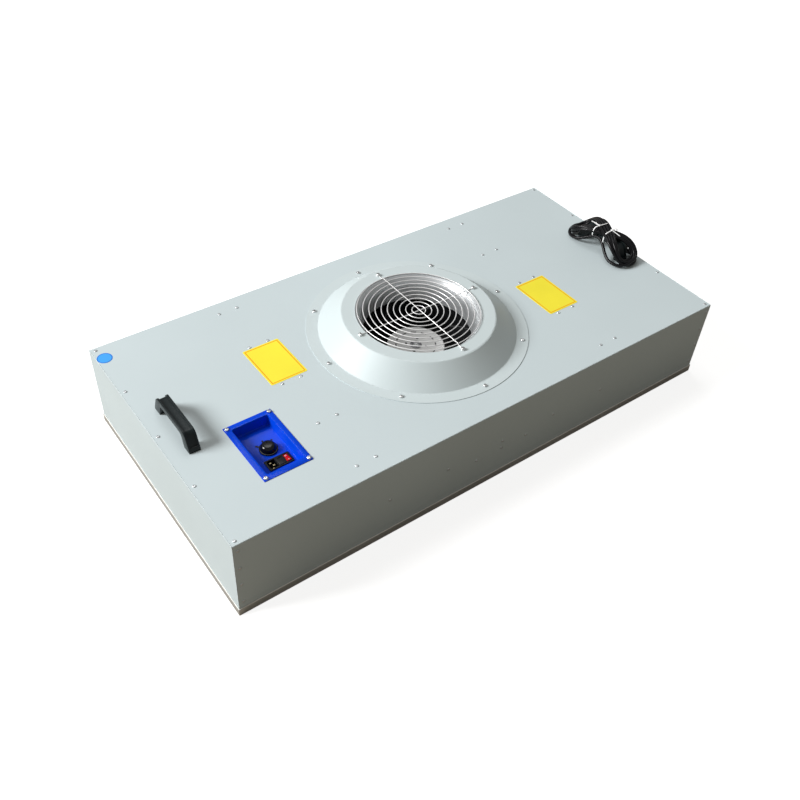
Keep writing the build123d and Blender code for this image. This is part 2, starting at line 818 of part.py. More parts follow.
# The shroud slopes from the eye down to the blade tips.
eye_top_z = top_z - nozzle_reach + eye_overlap
shroud_half = impeller_sheet / 2
eye_line = eye_radius + shroud_half
tip_z = blade_base_z + blade_tip_height
shoulder_z = eye_top_z - 12
with BuildPart() as impeller_shroud:
    with BuildSketch(Plane.XZ):
        with BuildLine():
            FilletPolyline(
                (eye_line, eye_top_z),
                (eye_line, shoulder_z),
                (impeller_radius, tip_z),
                radius=6,
            )
        trace(line_width=impeller_sheet)
    revolve(axis=Axis.Z)
save(impeller_shroud.part, "impeller_shroud")

# Each blade is an arc in plan, trimmed to the meridional outline of the wheel.
blade_inner = Vector(blade_inner_radius, 0)
blade_tip = Vector(blade_outer_radius, 0).rotate(Axis.Z, -blade_sweep)
blade_middle_radius = (blade_inner_radius + blade_outer_radius) / 2
blade_middle = Vector(blade_middle_radius, 0).rotate(Axis.Z, -0.42 * blade_sweep)
with BuildPart() as impeller_blades:
    with BuildSketch(Plane.XY.offset(blade_base_z)) as blade_plan:
        with BuildLine():
            ThreePointArc(blade_inner, blade_middle, blade_tip)
        trace(line_width=blade_thickness)
    with BuildSketch(Plane.XY.offset(blade_base_z)):
        with PolarLocations(0, blade_count):
            add(blade_plan.sketch_local)
    extrude(amount=eye_top_z - blade_base_z)
    with BuildSketch(Plane.XZ):
        with BuildLine():
            Polyline(
                (blade_inner_radius - 10, blade_base_z),
                (impeller_radius, blade_base_z),
                (impeller_radius, tip_z - blade_seat),
                (eye_radius, shoulder_z - blade_seat),
                (blade_inner_radius - 2, blade_base_z + blade_root_height),
                (blade_inner_radius - 10, blade_base_z + blade_root_height),
                close=True,
            )
        make_face()
    revolve(axis=Axis.Z, mode=Mode.INTERSECT)
save(impeller_blades.part, "impeller_blades")

# ---------------------------------------------------------------- control tray
pocket = (pocket_x, pocket_y)
tray_top_z = top_z + sheet
bush_radius = spindle_radius + bush_wall
with BuildPart() as control_tray:
    with BuildSketch(Plane.XY.offset(tray_top_z)):
        with Locations((tray_x, tray_y)):
            RectangleRounded(tray_length, tray_width, bend_radius)
        with Locations(*tray_screw_spots):
            Circle(m4_radius + hole_gap, mode=Mode.SUBTRACT)
    extrude(amount=-sheet)
    with BuildSketch(Plane.XY.offset(tray_top_z)):
        with Locations(pocket):
            RectangleRounded(
                pocket_length + 2 * sheet, pocket_width + 2 * sheet, pocket_corner + sheet
            )
    extrude(amount=-pocket_depth - sheet, taper=pocket_taper)
    with BuildSketch(Plane.XY.offset(tray_top_z)):
        with Locations(pocket):
            RectangleRounded(pocket_length, pocket_width, pocket_corner)
    extrude(amount=-pocket_depth, taper=pocket_taper, mode=Mode.SUBTRACT)
    with BuildSketch(Plane.XY.offset(floor_z)):
        with Locations((knob_x, knob_y)):
            Circle(bush_radius + hole_gap)
        with Locations((inlet_x, inlet_y)):
            Rectangle(inlet_body_length + panel_cut_gap, inlet_body_width + panel_cut_gap)
    extrude(amount=-sheet, mode=Mode.SUBTRACT)
save(control_tray.part, "control_tray")

tray_screw = domed_screw(
    m4_radius, m4_head_radius, m4_head_height, 2 * sheet + box_sheet + 3
)
with BuildPart() as tray_screws:
    with Locations(Plane.XY.offset(tray_top_z)):
        with Locations(*tray_screw_spots):
            add(tray_screw)
save(tray_screws.part, "tray_screws")

# Steel box that closes the wiring off under the tray.
box_inner_length = pocket_length + 2 * sheet + 2 * moving_gap
box_inner_width = pocket_width + 2 * sheet + 2 * moving_gap
box_end_x = pocket_x + box_inner_length / 2 + box_sheet
lead_radius = 3.5
lead_start_z = under_top - 0.65 * box_depth
gland_thread_radius = 6.0
with BuildPart() as electrical_box:
    with BuildSketch(Plane.XY.offset(under_top)):
        with Locations((tray_x, tray_y)):
            Rectangle(tray_length, tray_width)
        with Locations(*tray_screw_spots):
            Circle(m4_radius + hole_gap, mode=Mode.SUBTRACT)
    extrude(amount=-box_sheet)
    with BuildSketch(Plane.XY.offset(under_top)):
        with Locations(pocket):
            Rectangle(box_inner_length + 2 * box_sheet, box_inner_width + 2 * box_sheet)
    extrude(amount=-box_depth)
    with BuildSketch(Plane.XY.offset(under_top)):
        with Locations(pocket):
            Rectangle(box_inner_length, box_inner_width)
    extrude(amount=-(box_depth - box_sheet), mode=Mode.SUBTRACT)
    with BuildSketch(Plane((box_end_x, pocket_y, lead_start_z), z_dir=(-1, 0, 0))):
        Circle(gland_thread_radius + hole_gap)
    extrude(amount=box_sheet, mode=Mode.SUBTRACT)
save(electrical_box.part, "electrical_box")

# ---------------------------------------------------------------- speed control
box_floor_z = under_top - box_depth + box_sheet
board_length, board_width, board_thickness = 62.0, 70.0, 1.6
board_y = pocket_y + 0.5 * box_inner_width - 0.5 * board_width - 4
board_stand = 6.0
with BuildPart() as control_board:
    board_z = box_floor_z + board_stand
    with BuildSketch(Plane((pocket_x, board_y, board_z))):
        Rectangle(board_length, board_width)
    extrude(amount=board_thickness)
    with BuildSketch(Plane((pocket_x, board_y, board_z))):
        with GridLocations(board_length - 8, board_width - 8, 2, 2):
            Circle(2.5)
    extrude(amount=-board_stand)
    with BuildSketch(Plane((pocket_x, board_y, board_z + board_thickness))):
        with Locations((0, 0.5 * board_width - 8)):
            Rectangle(40, 10)
        with Locations((-16, -8)):
            Rectangle(14, 22)
    extrude(amount=10)
save(control_board.part, "control_board")

capacitor_radius, capacitor_length = 15.0, 52.0
capacitor_y = pocket_y - 0.5 * box_inner_width + capacitor_radius + 3
with BuildPart() as run_capacitor:
    capacitor_plane = Plane(
        (pocket_x - capacitor_length / 2, capacitor_y, box_floor_z + capacitor_radius),
        z_dir=(1, 0, 0),
    )
    with BuildSketch(capacitor_plane):
        Circle(capacitor_radius)
    extrude(amount=capacitor_length)
    chamfer(run_capacitor.edges().filter_by(GeomType.CIRCLE), 1.5)
save(run_capacitor.part, "run_capacitor")

floor_under = floor_z - sheet
spindle_depth = 0.7 * pot_depth
bush_top_z = floor_z + nut_height + 0.5
with BuildPart() as potentiometer:
    with BuildSketch(Plane((knob_x, knob_y, floor_under))):
        Circle(pot_radius)
    extrude(amount=-pot_depth)
    with BuildSketch(Plane((knob_x, knob_y, floor_under))):
        Circle(bush_radius)
    extrude(amount=bush_top_z - floor_under)
    with BuildSketch(Plane((knob_x, knob_y, bush_top_z))):
        Circle(spindle_radius + running_fit)
    extrude(amount=floor_under - spindle_depth - bush_top_z, mode=Mode.SUBTRACT)
save(potentiometer.part, "potentiometer")

with BuildPart() as potentiometer_nut:
    with BuildSketch(Plane((knob_x, knob_y, floor_z))):
        RegularPolygon(nut_across / 2, 6, major_radius=False)
        Circle(bush_radius, mode=Mode.SUBTRACT)
    extrude(amount=nut_height)
save(potentiometer_nut.part, "potentiometer_nut")

knob_base_z = floor_z + knob_gap
knob_top_z = knob_base_z + knob_height
spindle_top_z = knob_top_z - 3
with BuildPart() as knob_spindle:
    with BuildSketch(Plane((knob_x, knob_y, floor_under - spindle_depth + moving_gap))):
        Circle(spindle_radius)
    extrude(amount=spindle_top_z - floor_under + spindle_depth - moving_gap)
save(knob_spindle.part, "knob_spindle")

knob_plane = Plane((knob_x, knob_y, knob_base_z), x_dir=(1, 0, 0), z_dir=(0, -1, 0))
with BuildPart() as speed_knob:
    with BuildSketch(knob_plane):
        with BuildLine():
            Polyline(
                (0, knob_height),
                (0, 0),
                (knob_radius, 0),
                (knob_radius, 0.5 * knob_skirt),
                (knob_grip_radius, knob_skirt),
                (knob_crown_radius, knob_height),
                close=True,
            )
        make_face()
    revolve(axis=Axis((knob_x, knob_y, 0), (0, 0, 1)))
    fillet(speed_knob.edges().group_by(Axis.Z)[-1], knob_crown)
    with BuildSketch(Plane((knob_x, knob_y, knob_base_z))):
        Circle(nut_across / 2 + 2)
    extrude(amount=bush_top_z - knob_base_z + moving_gap, mode=Mode.SUBTRACT)
    with BuildSketch(Plane((knob_x, knob_y, knob_base_z))):
        Circle(spindle_radius)
    extrude(amount=spindle_top_z - knob_base_z, mode=Mode.SUBTRACT)
    with BuildSketch(Plane((knob_x, knob_y, knob_top_z))):
        with Locations((0, 0.75 * knob_crown_radius)):
            Rectangle(knob_pointer, 0.9 * knob_crown_radius)
    extrude(amount=-2 * knob_pointer, mode=Mode.SUBTRACT)
save(speed_knob.part, "speed_knob")

# ---------------------------------------------------------------- power inlet
bezel_top_z = floor_z + inlet_bezel
cell_width = socket_width
drawer_cell = drawer_length + 2 * moving_gap
rocker_cell = rocker_length + 2 * moving_gap
cells = socket_length + drawer_cell + rocker_cell + 2 * module_web
socket_x = inlet_x - cells / 2 + socket_length / 2
drawer_x = socket_x + socket_length / 2 + module_web + drawer_cell / 2
rocker_x = drawer_x + drawer_cell / 2 + module_web + rocker_cell / 2
drawer_depth = 20.0
rocker_cell_depth = 12.0
rocker_axis_z = bezel_top_z - 3.0
pin_bite = 0.8 * module_web
with BuildPart() as power_inlet:
    with BuildSketch(Plane((inlet_x, inlet_y, bezel_top_z))):
        RectangleRounded(inlet_length, inlet_width, 1.5)
    extrude(amount=-inlet_bezel)
    with BuildSketch(Plane((inlet_x, inlet_y, floor_z))):
        Rectangle(inlet_body_length, inlet_body_width)
    extrude(amount=-inlet_body_depth)
    with BuildSketch(Plane((socket_x, inlet_y, bezel_top_z))) as socket_mouth:
        Rectangle(socket_length, cell_width)
        socket_corners = socket_mouth.vertices().group_by(Axis.X)[0]
        chamfer(socket_corners, 3.5)
    extrude(amount=-socket_depth, mode=Mode.SUBTRACT)
    with BuildSketch(Plane((drawer_x, inlet_y, bezel_top_z))):
        Rectangle(drawer_cell, cell_width)
    extrude(amount=-drawer_depth - moving_gap, mode=Mode.SUBTRACT)
    with BuildSketch(Plane((rocker_x, inlet_y, bezel_top_z))):
        Rectangle(rocker_cell, cell_width)
    extrude(amount=-rocker_cell_depth, mode=Mode.SUBTRACT)
    with BuildSketch(Plane((rocker_x, inlet_y, rocker_axis_z), z_dir=(1, 0, 0))):
        Circle(rocker_pin_radius + running_fit)
    extrude(amount=rocker_cell / 2 + pin_bite + moving_gap / 2, both=True, mode=Mode.SUBTRACT)
save(power_inlet.part, "power_inlet")

socket_floor_z = bezel_top_z - socket_depth
with BuildPart() as inlet_pins:
    with BuildSketch(Plane((socket_x, inlet_y, socket_floor_z))):
        with Locations((-1.5, -7), (-1.5, 7), (2.5, 0)):
            Rectangle(4, 2)
    extrude(amount=socket_depth - 4)
save(inlet_pins.part, "inlet_pins")

drawer_bottom_z = bezel_top_z - drawer_depth
drawer_width = cell_width - 2 * moving_gap
fuse_z = drawer_bottom_z + fuse_radius + 3
with BuildPart() as fuse_drawer:
    with BuildSketch(Plane((drawer_x, inlet_y, drawer_bottom_z))):
        Rectangle(drawer_length, drawer_width)
    extrude(amount=drawer_depth + 0.8)
    chamfer(fuse_drawer.edges().group_by(Axis.Z)[-1], 0.4)
    with BuildSketch(Plane((drawer_x, inlet_y, bezel_top_z + 0.8))):
        with Locations((0, 0.32 * drawer_width)):
            Rectangle(0.6 * drawer_length, 2)
    extrude(amount=-1.6, mode=Mode.SUBTRACT)
    with BuildSketch(Plane((drawer_x, inlet_y, fuse_z))):
        with Locations((-drawer_length / 4, 0)):
            Rectangle(drawer_length / 2, fuse_length)
    extrude(amount=fuse_radius, both=True, mode=Mode.SUBTRACT)
    with BuildSketch(Plane((drawer_x, inlet_y - fuse_length / 2, fuse_z), z_dir=(0, 1, 0))):
        Circle(fuse_radius)
    extrude(amount=fuse_length, mode=Mode.SUBTRACT)
save(fuse_drawer.part, "fuse_drawer")

with BuildPart() as fuse:
    with BuildSketch(Plane((drawer_x, inlet_y - fuse_length / 2, fuse_z), z_dir=(0, 1, 0))):
        Circle(fuse_radius)
    extrude(amount=fuse_length)
save(fuse.part, "fuse")

# The rocker rests pressed down at its back end.
rocker_half = cell_width / 2 - 2.7 * moving_gap
rocker_tip, rocker_dip, rocker_root = 3.2, 1.4, -7.0
rocker_back = (0, cos(radians(rocker_tilt)), -sin(radians(rocker_tilt)))
rocker_plane = Plane((rocker_x, inlet_y, rocker_axis_z), x_dir=rocker_back, z_dir=(1, 0, 0))
with BuildPart() as rocker:
    with BuildSketch(rocker_plane):
        with BuildLine():
            Polyline(
                (-rocker_half, -1),
                (-rocker_half, rocker_tip),
                (0, rocker_dip),
                (rocker_half, rocker_tip),
                (rocker_half, -1),
                (3, rocker_root),
                (-3, rocker_root),
                close=True,
            )
        make_face()
    extrude(amount=rocker_length / 2, both=True)
    with BuildSketch(rocker_plane):
        Circle(rocker_pin_radius)
    extrude(amount=rocker_cell / 2 + pin_bite, both=True)
save(rocker.part, "rocker")

# ---------------------------------------------------------------- motor lead
lead_z = deck_top + lead_radius + hole_gap
lead_bearing = 20.4
lead_end_radius = base_radius + moving_gap
lead_swing = 100.0  # from the box to where the lead meets the deck
lead_turn_radius = -box_end_x - lead_swing
lead_first_run = 60.0
lead_bend = 60.0


def on_deck(radius):
    """Return the point of the lead's last run at a radius from the fan axis."""
    turn = radians(lead_bearing)
    return (-radius * cos(turn), -radius * sin(turn), lead_z)


lead_points = [
    (box_end_x - 10, pocket_y, lead_start_z),
    (box_end_x + lead_first_run, pocket_y, lead_start_z),
    on_deck(lead_turn_radius),
    on_deck(lead_end_radius),
]
with BuildPart() as motor_lead:
    with BuildLine() as lead_path:
        FilletPolyline(*lead_points, radius=lead_bend)
    with BuildSketch(Plane(lead_points[0], z_dir=(1, 0, 0))):
        Circle(lead_radius)
    sweep(path=lead_path.line)
save(motor_lead.part, "motor_lead")

gland_length = 12.0
with BuildPart() as lead_gland:
    with BuildSketch(Plane((box_end_x, pocket_y, lead_start_z), z_dir=(1, 0, 0))):
        RegularPolygon(8, 6, major_radius=False)
    extrude(amount=gland_length)
    chamfer(lead_gland.edges().group_by(Axis.X)[-1], 1.2)
    with BuildSketch(Plane((box_end_x, pocket_y, lead_start_z), z_dir=(-1, 0, 0))):
        Circle(gland_thread_radius)
    extrude(amount=box_sheet + 5)
    with BuildSketch(
        Plane((box_end_x + gland_length, pocket_y, lead_start_z), z_dir=(-1, 0, 0))
    ):
        Circle(lead_radius + running_fit)
    extrude(amount=gland_length + box_sheet + 5, mode=Mode.SUBTRACT)
save(lead_gland.part, "lead_gland")

# ---------------------------------------------------------------- handles
# Bridge handle: sloped legs, straight bar, and a channel along the outer face.
handle_half = handle_length / 2
handle_screw_reach = 12.0
with BuildPart() as handle_left:
    with BuildSketch(Plane.YZ.offset(-handle_x)) as handle_side:
        with BuildLine():
            outer_bar = FilletPolyline(
                (-handle_half, top_z),
                (-handle_half, top_z + 4),
                (handle_slope - handle_half, top_z + handle_height),
                (handle_half - handle_slope, top_z + handle_height),
                (handle_half, top_z + 4),
                (handle_half, top_z),
                radius=[2, 14, 14, 2],
            )
            foot_edge = handle_half - handle_foot
            under_edge = foot_edge - 0.6 * handle_slope
            FilletPolyline(
                outer_bar @ 1,
                (foot_edge, top_z),
                (under_edge, top_z + handle_height - handle_bar),
                (-under_edge, top_z + handle_height - handle_bar),
                (-foot_edge, top_z),
                outer_bar @ 0,
                radius=[0.5, 9, 9, 0.5],
            )
        make_face()
    extrude(amount=handle_width / 2, both=True)
    with BuildSketch(Plane.YZ.offset(-handle_x)):
        with BuildLine():
            FilletPolyline(
                (6 * handle_slope / 35 - handle_half, top_z + 10),
                (handle_slope - handle_half, top_z + handle_height),
                (handle_half - handle_slope, top_z + handle_height),
                (handle_half - 6 * handle_slope / 35, top_z + 10),
                radius=14,
            )
        trace(line_width=2 * handle_groove_depth)
    extrude(amount=handle_groove / 2, both=True, mode=Mode.SUBTRACT)
    with BuildSketch(Plane.XY.offset(top_z)):
        with Locations(*handle_screw_spots):
            Circle(m6_radius)
    extrude(amount=handle_screw_reach, mode=Mode.SUBTRACT)
save(handle_left.part, "handle_left")

with BuildPart() as handle_right:
    mirror(handle_left.part, about=Plane.YZ)
save(handle_right.part, "handle_right")

handle_screw = domed_screw(
    m6_radius, m6_head_radius, m6_head_height, sheet + handle_screw_reach
)
with BuildPart() as handle_screws:
    with Locations(Plane.XY.offset(under_top).rotated((180, 0, 0))):
        with Locations(*handle_screw_spots):
            add(handle_screw)
save(handle_screws.part, "handle_screws")

# ---------------------------------------------------------------- stickers
for label_name, label_x, label_y in (
    ("label_left", label_left_x, label_left_y),
    ("label_right", label_right_x, label_right_y),
):
    with BuildPart() as label:
        with BuildSketch(Plane((label_x, label_y, top_z))):
            RectangleRounded(label_length, label_width, 3)
        extrude(amount=sticker)
    save(label.part, label_name)

with BuildPart() as round_sticker:
    with BuildSketch(Plane((round_sticker_x, round_sticker_y, top_z))):
        Circle(round_sticker_radius)
    extrude(amount=sticker)
save(round_sticker.part, "round_sticker")

# ---------------------------------------------------------------- mains lead
# The lead is wound in a figure of eight round the legs of the right handle and
# crosses over its bar. This is the outer shape of the whole winding.
seat_gap = 0.3
bar_top = handle_height + seat_gap
hank_reach = 96.0
lobe_middle = 50.0
lobe_half_width, lobe_hole_half_width = 35.0, 15.0
hank_under = [(hank_reach, seat_gap), (hank_reach - 11, seat_gap), (62, 15), (34, bar_top)]
hank_over = [(hank_reach, 16), (60, 36), (24, 52), (0, 55)]
hank_side = [(-y, z) for y, z in hank_under] + hank_under[::-1] + hank_over
hank_side += [(-y, z) for y, z in hank_over[-2::-1]]
with BuildPart() as cord_hank:
    with BuildSketch(Plane((handle_x, 0, top_z))):
        for lobe in (-lobe_middle, lobe_middle):
            with Locations((0, lobe)):
                Ellipse(lobe_half_width, hank_reach - lobe_middle)
        Rectangle(40, 40)
        for lobe in (-lobe_middle, lobe_middle):
            with Locations((0, lobe)):
                Ellipse(lobe_hole_half_width, 29, mode=Mode.SUBTRACT)
    extrude(amount=60)
    with BuildSketch(Plane((handle_x, 0, top_z), x_dir=(0, 1, 0), z_dir=(1, 0, 0))):
        with BuildLine():
            Polyline(*hank_side, close=True)
        make_face()
    extrude(amount=40, both=True, mode=Mode.INTERSECT)
save(cord_hank.part, "cord_hank")

# Plug and connector lie nose to nose on the panel, outside the lobes.
end_piece_width, end_piece_length = 22.0, 30.0
end_piece_edge = 3.0
plug_x = handle_x + lobe_half_width - 1.5
plug_y = 26.0
plug_height, connector_height = 18.0, 16.0
relief_radius, relief_length, relief_taper = 5.5, 14.0, 6
blade_reach = 15.0
with BuildPart() as mains_plug:
    with BuildSketch(Plane((plug_x, plug_y, top_z))):
        RectangleRounded(end_piece_width, end_piece_length, 5)
    extrude(amount=plug_height)
    fillet(mains_plug.edges().group_by(Axis.Z)[-1], end_piece_edge)
    plug_axis_z = top_z + plug_height / 2
    plug_tail = plug_y + end_piece_length / 2
    with BuildSketch(Plane((plug_x, plug_tail, plug_axis_z), z_dir=(0, 1, 0))):
        Circle(relief_radius)
    extrude(amount=relief_length, taper=relief_taper)
    plug_nose = plug_y - end_piece_length / 2
    with BuildSketch(Plane((plug_x, plug_nose, plug_axis_z), z_dir=(0, -1, 0))):
        with Locations((-6, -2), (6, -2), (0, 4)):
            Rectangle(1.6, 6)
    extrude(amount=blade_reach)
save(mains_plug.part, "mains_plug")

with BuildPart() as cord_connector:
    with BuildSketch(Plane((plug_x, -plug_y, top_z))):
        RectangleRounded(end_piece_width, end_piece_length, end_piece_edge)
    extrude(amount=connector_height)
    fillet(cord_connector.edges().group_by(Axis.Z)[-1], end_piece_edge)
    connector_axis_z = top_z + connector_height / 2
    with BuildSketch(Plane((plug_x, -plug_tail, connector_axis_z), z_dir=(0, -1, 0))):
        Circle(relief_radius)
    extrude(amount=relief_length, taper=relief_taper)
save(cord_connector.part, "cord_connector")

# Each tie is a strap round the bar and the strands that cross over it.
tie_band = 0.8
tie_low = handle_height - handle_bar - seat_gap
tie_high = 54.2
tie_inner_width = 49.0
tie_y = 14.0
with BuildPart() as cord_ties:
    for tie_side in (-tie_y, tie_y):
        tie_plane = Plane(
            (handle_x, tie_side, top_z + (tie_low + tie_high) / 2), x_dir=(1, 0, 0), z_dir=(0, 1, 0)
        )
        with BuildSketch(tie_plane):
            RectangleRounded(tie_inner_width + 2 * tie_band, tie_high - tie_low + 2 * tie_band, 4)
            RectangleRounded(tie_inner_width, tie_high - tie_low, 4 - tie_band, mode=Mode.SUBTRACT)
        extrude(amount=2, both=True)
save(cord_ties.part, "cord_ties")
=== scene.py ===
"""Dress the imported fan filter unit: finishes, fine pieces, mains lead, studio.

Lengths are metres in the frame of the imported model: origin at the middle of
the footprint, +X towards the mains lead, +Y to the back, +Z up.
"""

import json
import logging
import math
from collections.abc import Callable, Iterator
from contextlib import contextmanager
from dataclasses import dataclass
from enum import Enum

import bpy
from mathutils import Matrix, Vector

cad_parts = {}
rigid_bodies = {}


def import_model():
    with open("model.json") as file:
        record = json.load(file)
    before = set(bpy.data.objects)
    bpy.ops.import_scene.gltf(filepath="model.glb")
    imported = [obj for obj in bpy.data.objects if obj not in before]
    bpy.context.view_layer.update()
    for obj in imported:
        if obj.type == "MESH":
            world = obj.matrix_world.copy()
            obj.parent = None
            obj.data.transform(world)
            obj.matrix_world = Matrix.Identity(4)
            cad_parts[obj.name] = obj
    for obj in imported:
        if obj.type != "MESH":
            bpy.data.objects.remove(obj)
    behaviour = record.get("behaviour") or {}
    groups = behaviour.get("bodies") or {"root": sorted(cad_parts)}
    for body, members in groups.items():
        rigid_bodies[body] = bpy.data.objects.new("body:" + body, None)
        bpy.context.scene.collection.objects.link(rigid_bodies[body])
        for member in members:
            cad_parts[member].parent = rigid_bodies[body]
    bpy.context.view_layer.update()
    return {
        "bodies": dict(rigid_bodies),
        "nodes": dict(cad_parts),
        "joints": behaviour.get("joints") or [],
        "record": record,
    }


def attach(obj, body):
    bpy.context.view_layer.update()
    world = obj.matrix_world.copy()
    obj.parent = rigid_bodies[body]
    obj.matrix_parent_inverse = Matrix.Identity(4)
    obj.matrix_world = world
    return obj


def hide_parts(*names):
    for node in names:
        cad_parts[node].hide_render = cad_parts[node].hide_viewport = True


LOG = logging.getLogger("fan_filter_unit")
MERGE = 1e-6  # corners closer than this are one
HAIR = 1e-5  # slack of a level that is looked for
NEAR = 1e-4  # slack of a place that is looked for
UPRIGHT = 0.9  # share of Z above which a direction counts as upright
DUST_GREY = (0.55, 0.53, 0.50, 1)
COAT_ROUGHNESS = 0.08
GRAIN_DEPTH = 0.0004
Piece = bpy.types.Object
Socket = bpy.types.NodeSocket
Tree = bpy.types.NodeTree
Point = tuple[float, float, float]
Spot = tuple[float, float]
Colour = tuple[float, float, float]
Test = Callable[[Vector, Vector], bool]


class Easing(Enum):
    """How far an edge is rounded."""

    HAIR = 0.0001
    THIN = 0.0002
    FINE = 0.0003
    PLAIN = 0.0004
    WIDE = 0.0005
    SOFT = 0.0006
    FULL = 0.0012


class Kind(Enum):
    """What is selected on a mesh, as Blender's select modes."""

    VERTEX = (True, False, False)
    EDGE = (False, True, False)
    FACE = (False, False, True)


# ---------------------------------------------------------------- modelling bench
class Bench:
    """Small steps of hand modelling, each on one clean selection."""

    @staticmethod
    def clear() -> None:
        """Leave every object deselected and the bench in object mode."""
        if bpy.context.object and bpy.context.object.mode != "OBJECT":
            bpy.ops.object.mode_set(mode="OBJECT")
        bpy.ops.object.select_all(action="DESELECT")

    @staticmethod
    def pick(*pieces: Piece) -> None:
        """Select only these pieces, the first one active."""
        Bench.clear()
        for piece in pieces:
            piece.select_set(True)
        bpy.context.view_layer.objects.active = pieces[0]

    @staticmethod
    def join(pieces: list[Piece], name: str) -> Piece:
        """Join pieces into one object.

        Args:
            pieces: The objects to join.
            name: The name of the joined object.

        Returns:
            The joined object.
        """
        Bench.pick(*pieces)
        if len(pieces) > 1:
            bpy.ops.object.join()
        joined = bpy.context.object
        joined.name = name
        return joined

    @staticmethod
    def settle(piece: Piece) -> None:
        """Put a piece's place into its mesh, so that its object is at the origin."""
        Bench.pick(piece)
        bpy.ops.object.transform_apply(location=True, rotation=True, scale=True)

    @staticmethod
    def apply_all(piece: Piece) -> None:
        """Apply every modifier of a piece, in order."""
        Bench.pick(piece)
        for modifier in list(piece.modifiers):
            bpy.ops.object.modifier_apply(modifier=modifier.name)

    @staticmethod
    def smooth(piece: Piece, degrees: float = 35.0) -> None:
        """Shade a piece smooth, with edges sharper than an angle kept."""
        Bench.pick(piece)
        bpy.ops.object.shade_smooth_by_angle(angle=math.radians(degrees))

    @staticmethod
    def outward(piece: Piece) -> None:
        """Merge doubles and turn every face of a piece outwards."""
        Bench.pick(piece)
        bpy.ops.object.mode_set(mode="EDIT")
        bpy.ops.mesh.select_all(action="SELECT")
        bpy.ops.mesh.remove_doubles(threshold=MERGE)
        bpy.ops.mesh.normals_make_consistent(inside=False)
        bpy.ops.object.mode_set(mode="OBJECT")

    @staticmethod
    def bevel(piece: Piece, width: Easing | float, segments: int = 2, angle: float = 30) -> None:
        """Round the sharp edges of a piece.

        Args:
            piece: The piece to round.
            width: The bevel's width, or a step of easing.
            segments: Faces across the bevel.
            angle: Edges sharper than this many degrees are rounded.
        """
        modifier = piece.modifiers.new("edge_round", "BEVEL")
        modifier.width = width.value if isinstance(width, Easing) else width
        modifier.segments = segments
        modifier.limit_method = "ANGLE"
        modifier.angle_limit = math.radians(angle)
        Bench.apply_all(piece)

    @staticmethod
    def tube(centre: Point, radius: float, height: float, sides: int = 32) -> Piece:
        """Add an upright round bar at its middle."""
        Bench.clear()
        bpy.ops.mesh.primitive_cylinder_add(
            vertices=sides, radius=radius, depth=height, location=centre
        )
        bar = bpy.context.object
        Bench.settle(bar)
        return bar

    @staticmethod
    def block(centre: Point, size: Point) -> Piece:
        """Add a block of a size, at its middle."""
        Bench.clear()
        bpy.ops.mesh.primitive_cube_add(size=1, location=centre)
        block = bpy.context.object
        block.scale = size
        Bench.settle(block)
        return block

    @staticmethod
    @contextmanager
    def editing(piece: Piece, kind: Kind, test: Test | None = None) -> Iterator[None]:
        """Work in edit mode on the parts of a mesh that pass a test.

        Args:
            piece: The piece to work on.
            kind: Whether vertices, edges or faces are tested.
            test: Takes the middle of a part and its direction, and returns whether it is
                selected. The direction is a normal, or an edge's own. Without a test all
                parts are selected.

        Yields:
            Nothing, with the selection made.
        """
        Bench.pick(piece)
        mesh = piece.data
        for group in (mesh.vertices, mesh.edges, mesh.polygons):
            for part in group:
                part.select = False
        if kind is Kind.FACE:
            tested = [(face, face.center, face.normal) for face in mesh.polygons]
        elif kind is Kind.VERTEX:
            tested = [(vertex, vertex.co, vertex.normal) for vertex in mesh.vertices]
        else:
            tested = []
            for edge in mesh.edges:
                start, end = (mesh.vertices[index].co for index in edge.vertices)
                tested.append((edge, (start + end) / 2, (end - start).normalized()))
        for part, middle, way in tested:
            part.select = test is None or test(middle, way)
        bpy.context.tool_settings.mesh_select_mode = kind.value
        bpy.ops.object.mode_set(mode="EDIT")
        yield
        bpy.ops.object.mode_set(mode="OBJECT")

    @staticmethod
    def soften(piece: Piece, width: float, segments: int, test: Test) -> None:
        """Round the edges that pass a test, and no others."""
        with Bench.editing(piece, Kind.EDGE, test):
            bpy.ops.mesh.bevel(offset=width, segments=segments, affect="EDGES")

    @staticmethod
    def carve(piece: Piece, cutter: Piece) -> None:
        """Cut the shape of one piece out of another and remove the cutter."""
        modifier = piece.modifiers.new("cut", "BOOLEAN")
        modifier.operation = "DIFFERENCE"
        modifier.solver = "EXACT"
        modifier.object = cutter
        Bench.apply_all(piece)
        bpy.data.objects.remove(cutter)

    @staticmethod
    def rod(points: list[Point], radius: float, sides: int = 8) -> Piece:
        """Draw a round wire through points, closed at both ends.

        Args:
            points: The middle of the wire at each bend.
            radius: The wire's radius.
            sides: Its number of sides.

        Returns:
            The wire.
        """
        Bench.clear()
        runs = [Vector(b) - Vector(a) for a, b in zip(points, points[1:])]
        turn = (Vector(points[-1]) - Vector(points[0])).to_track_quat("Z", "Y").to_euler()
        bpy.ops.mesh.primitive_circle_add(
            vertices=sides, radius=radius, fill_type="NGON", location=points[0], rotation=turn
        )
        wire = bpy.context.object
        Bench.settle(wire)
        with Bench.editing(wire, Kind.FACE):
            for run in runs:
                bpy.ops.mesh.extrude_region_move(TRANSFORM_OT_translate={"value": run})
        Bench.outward(wire)
        return wire

    @staticmethod
    def ring(centre: Point, radius: float, thickness: float, sides: int = 72) -> Piece:
        """Add a ring of round wire that lies flat."""
        Bench.clear()
        bpy.ops.mesh.primitive_torus_add(
            location=centre,
            major_radius=radius,
            minor_radius=thickness / 2,
            major_segments=sides,
            minor_segments=8,
        )
        return bpy.context.object

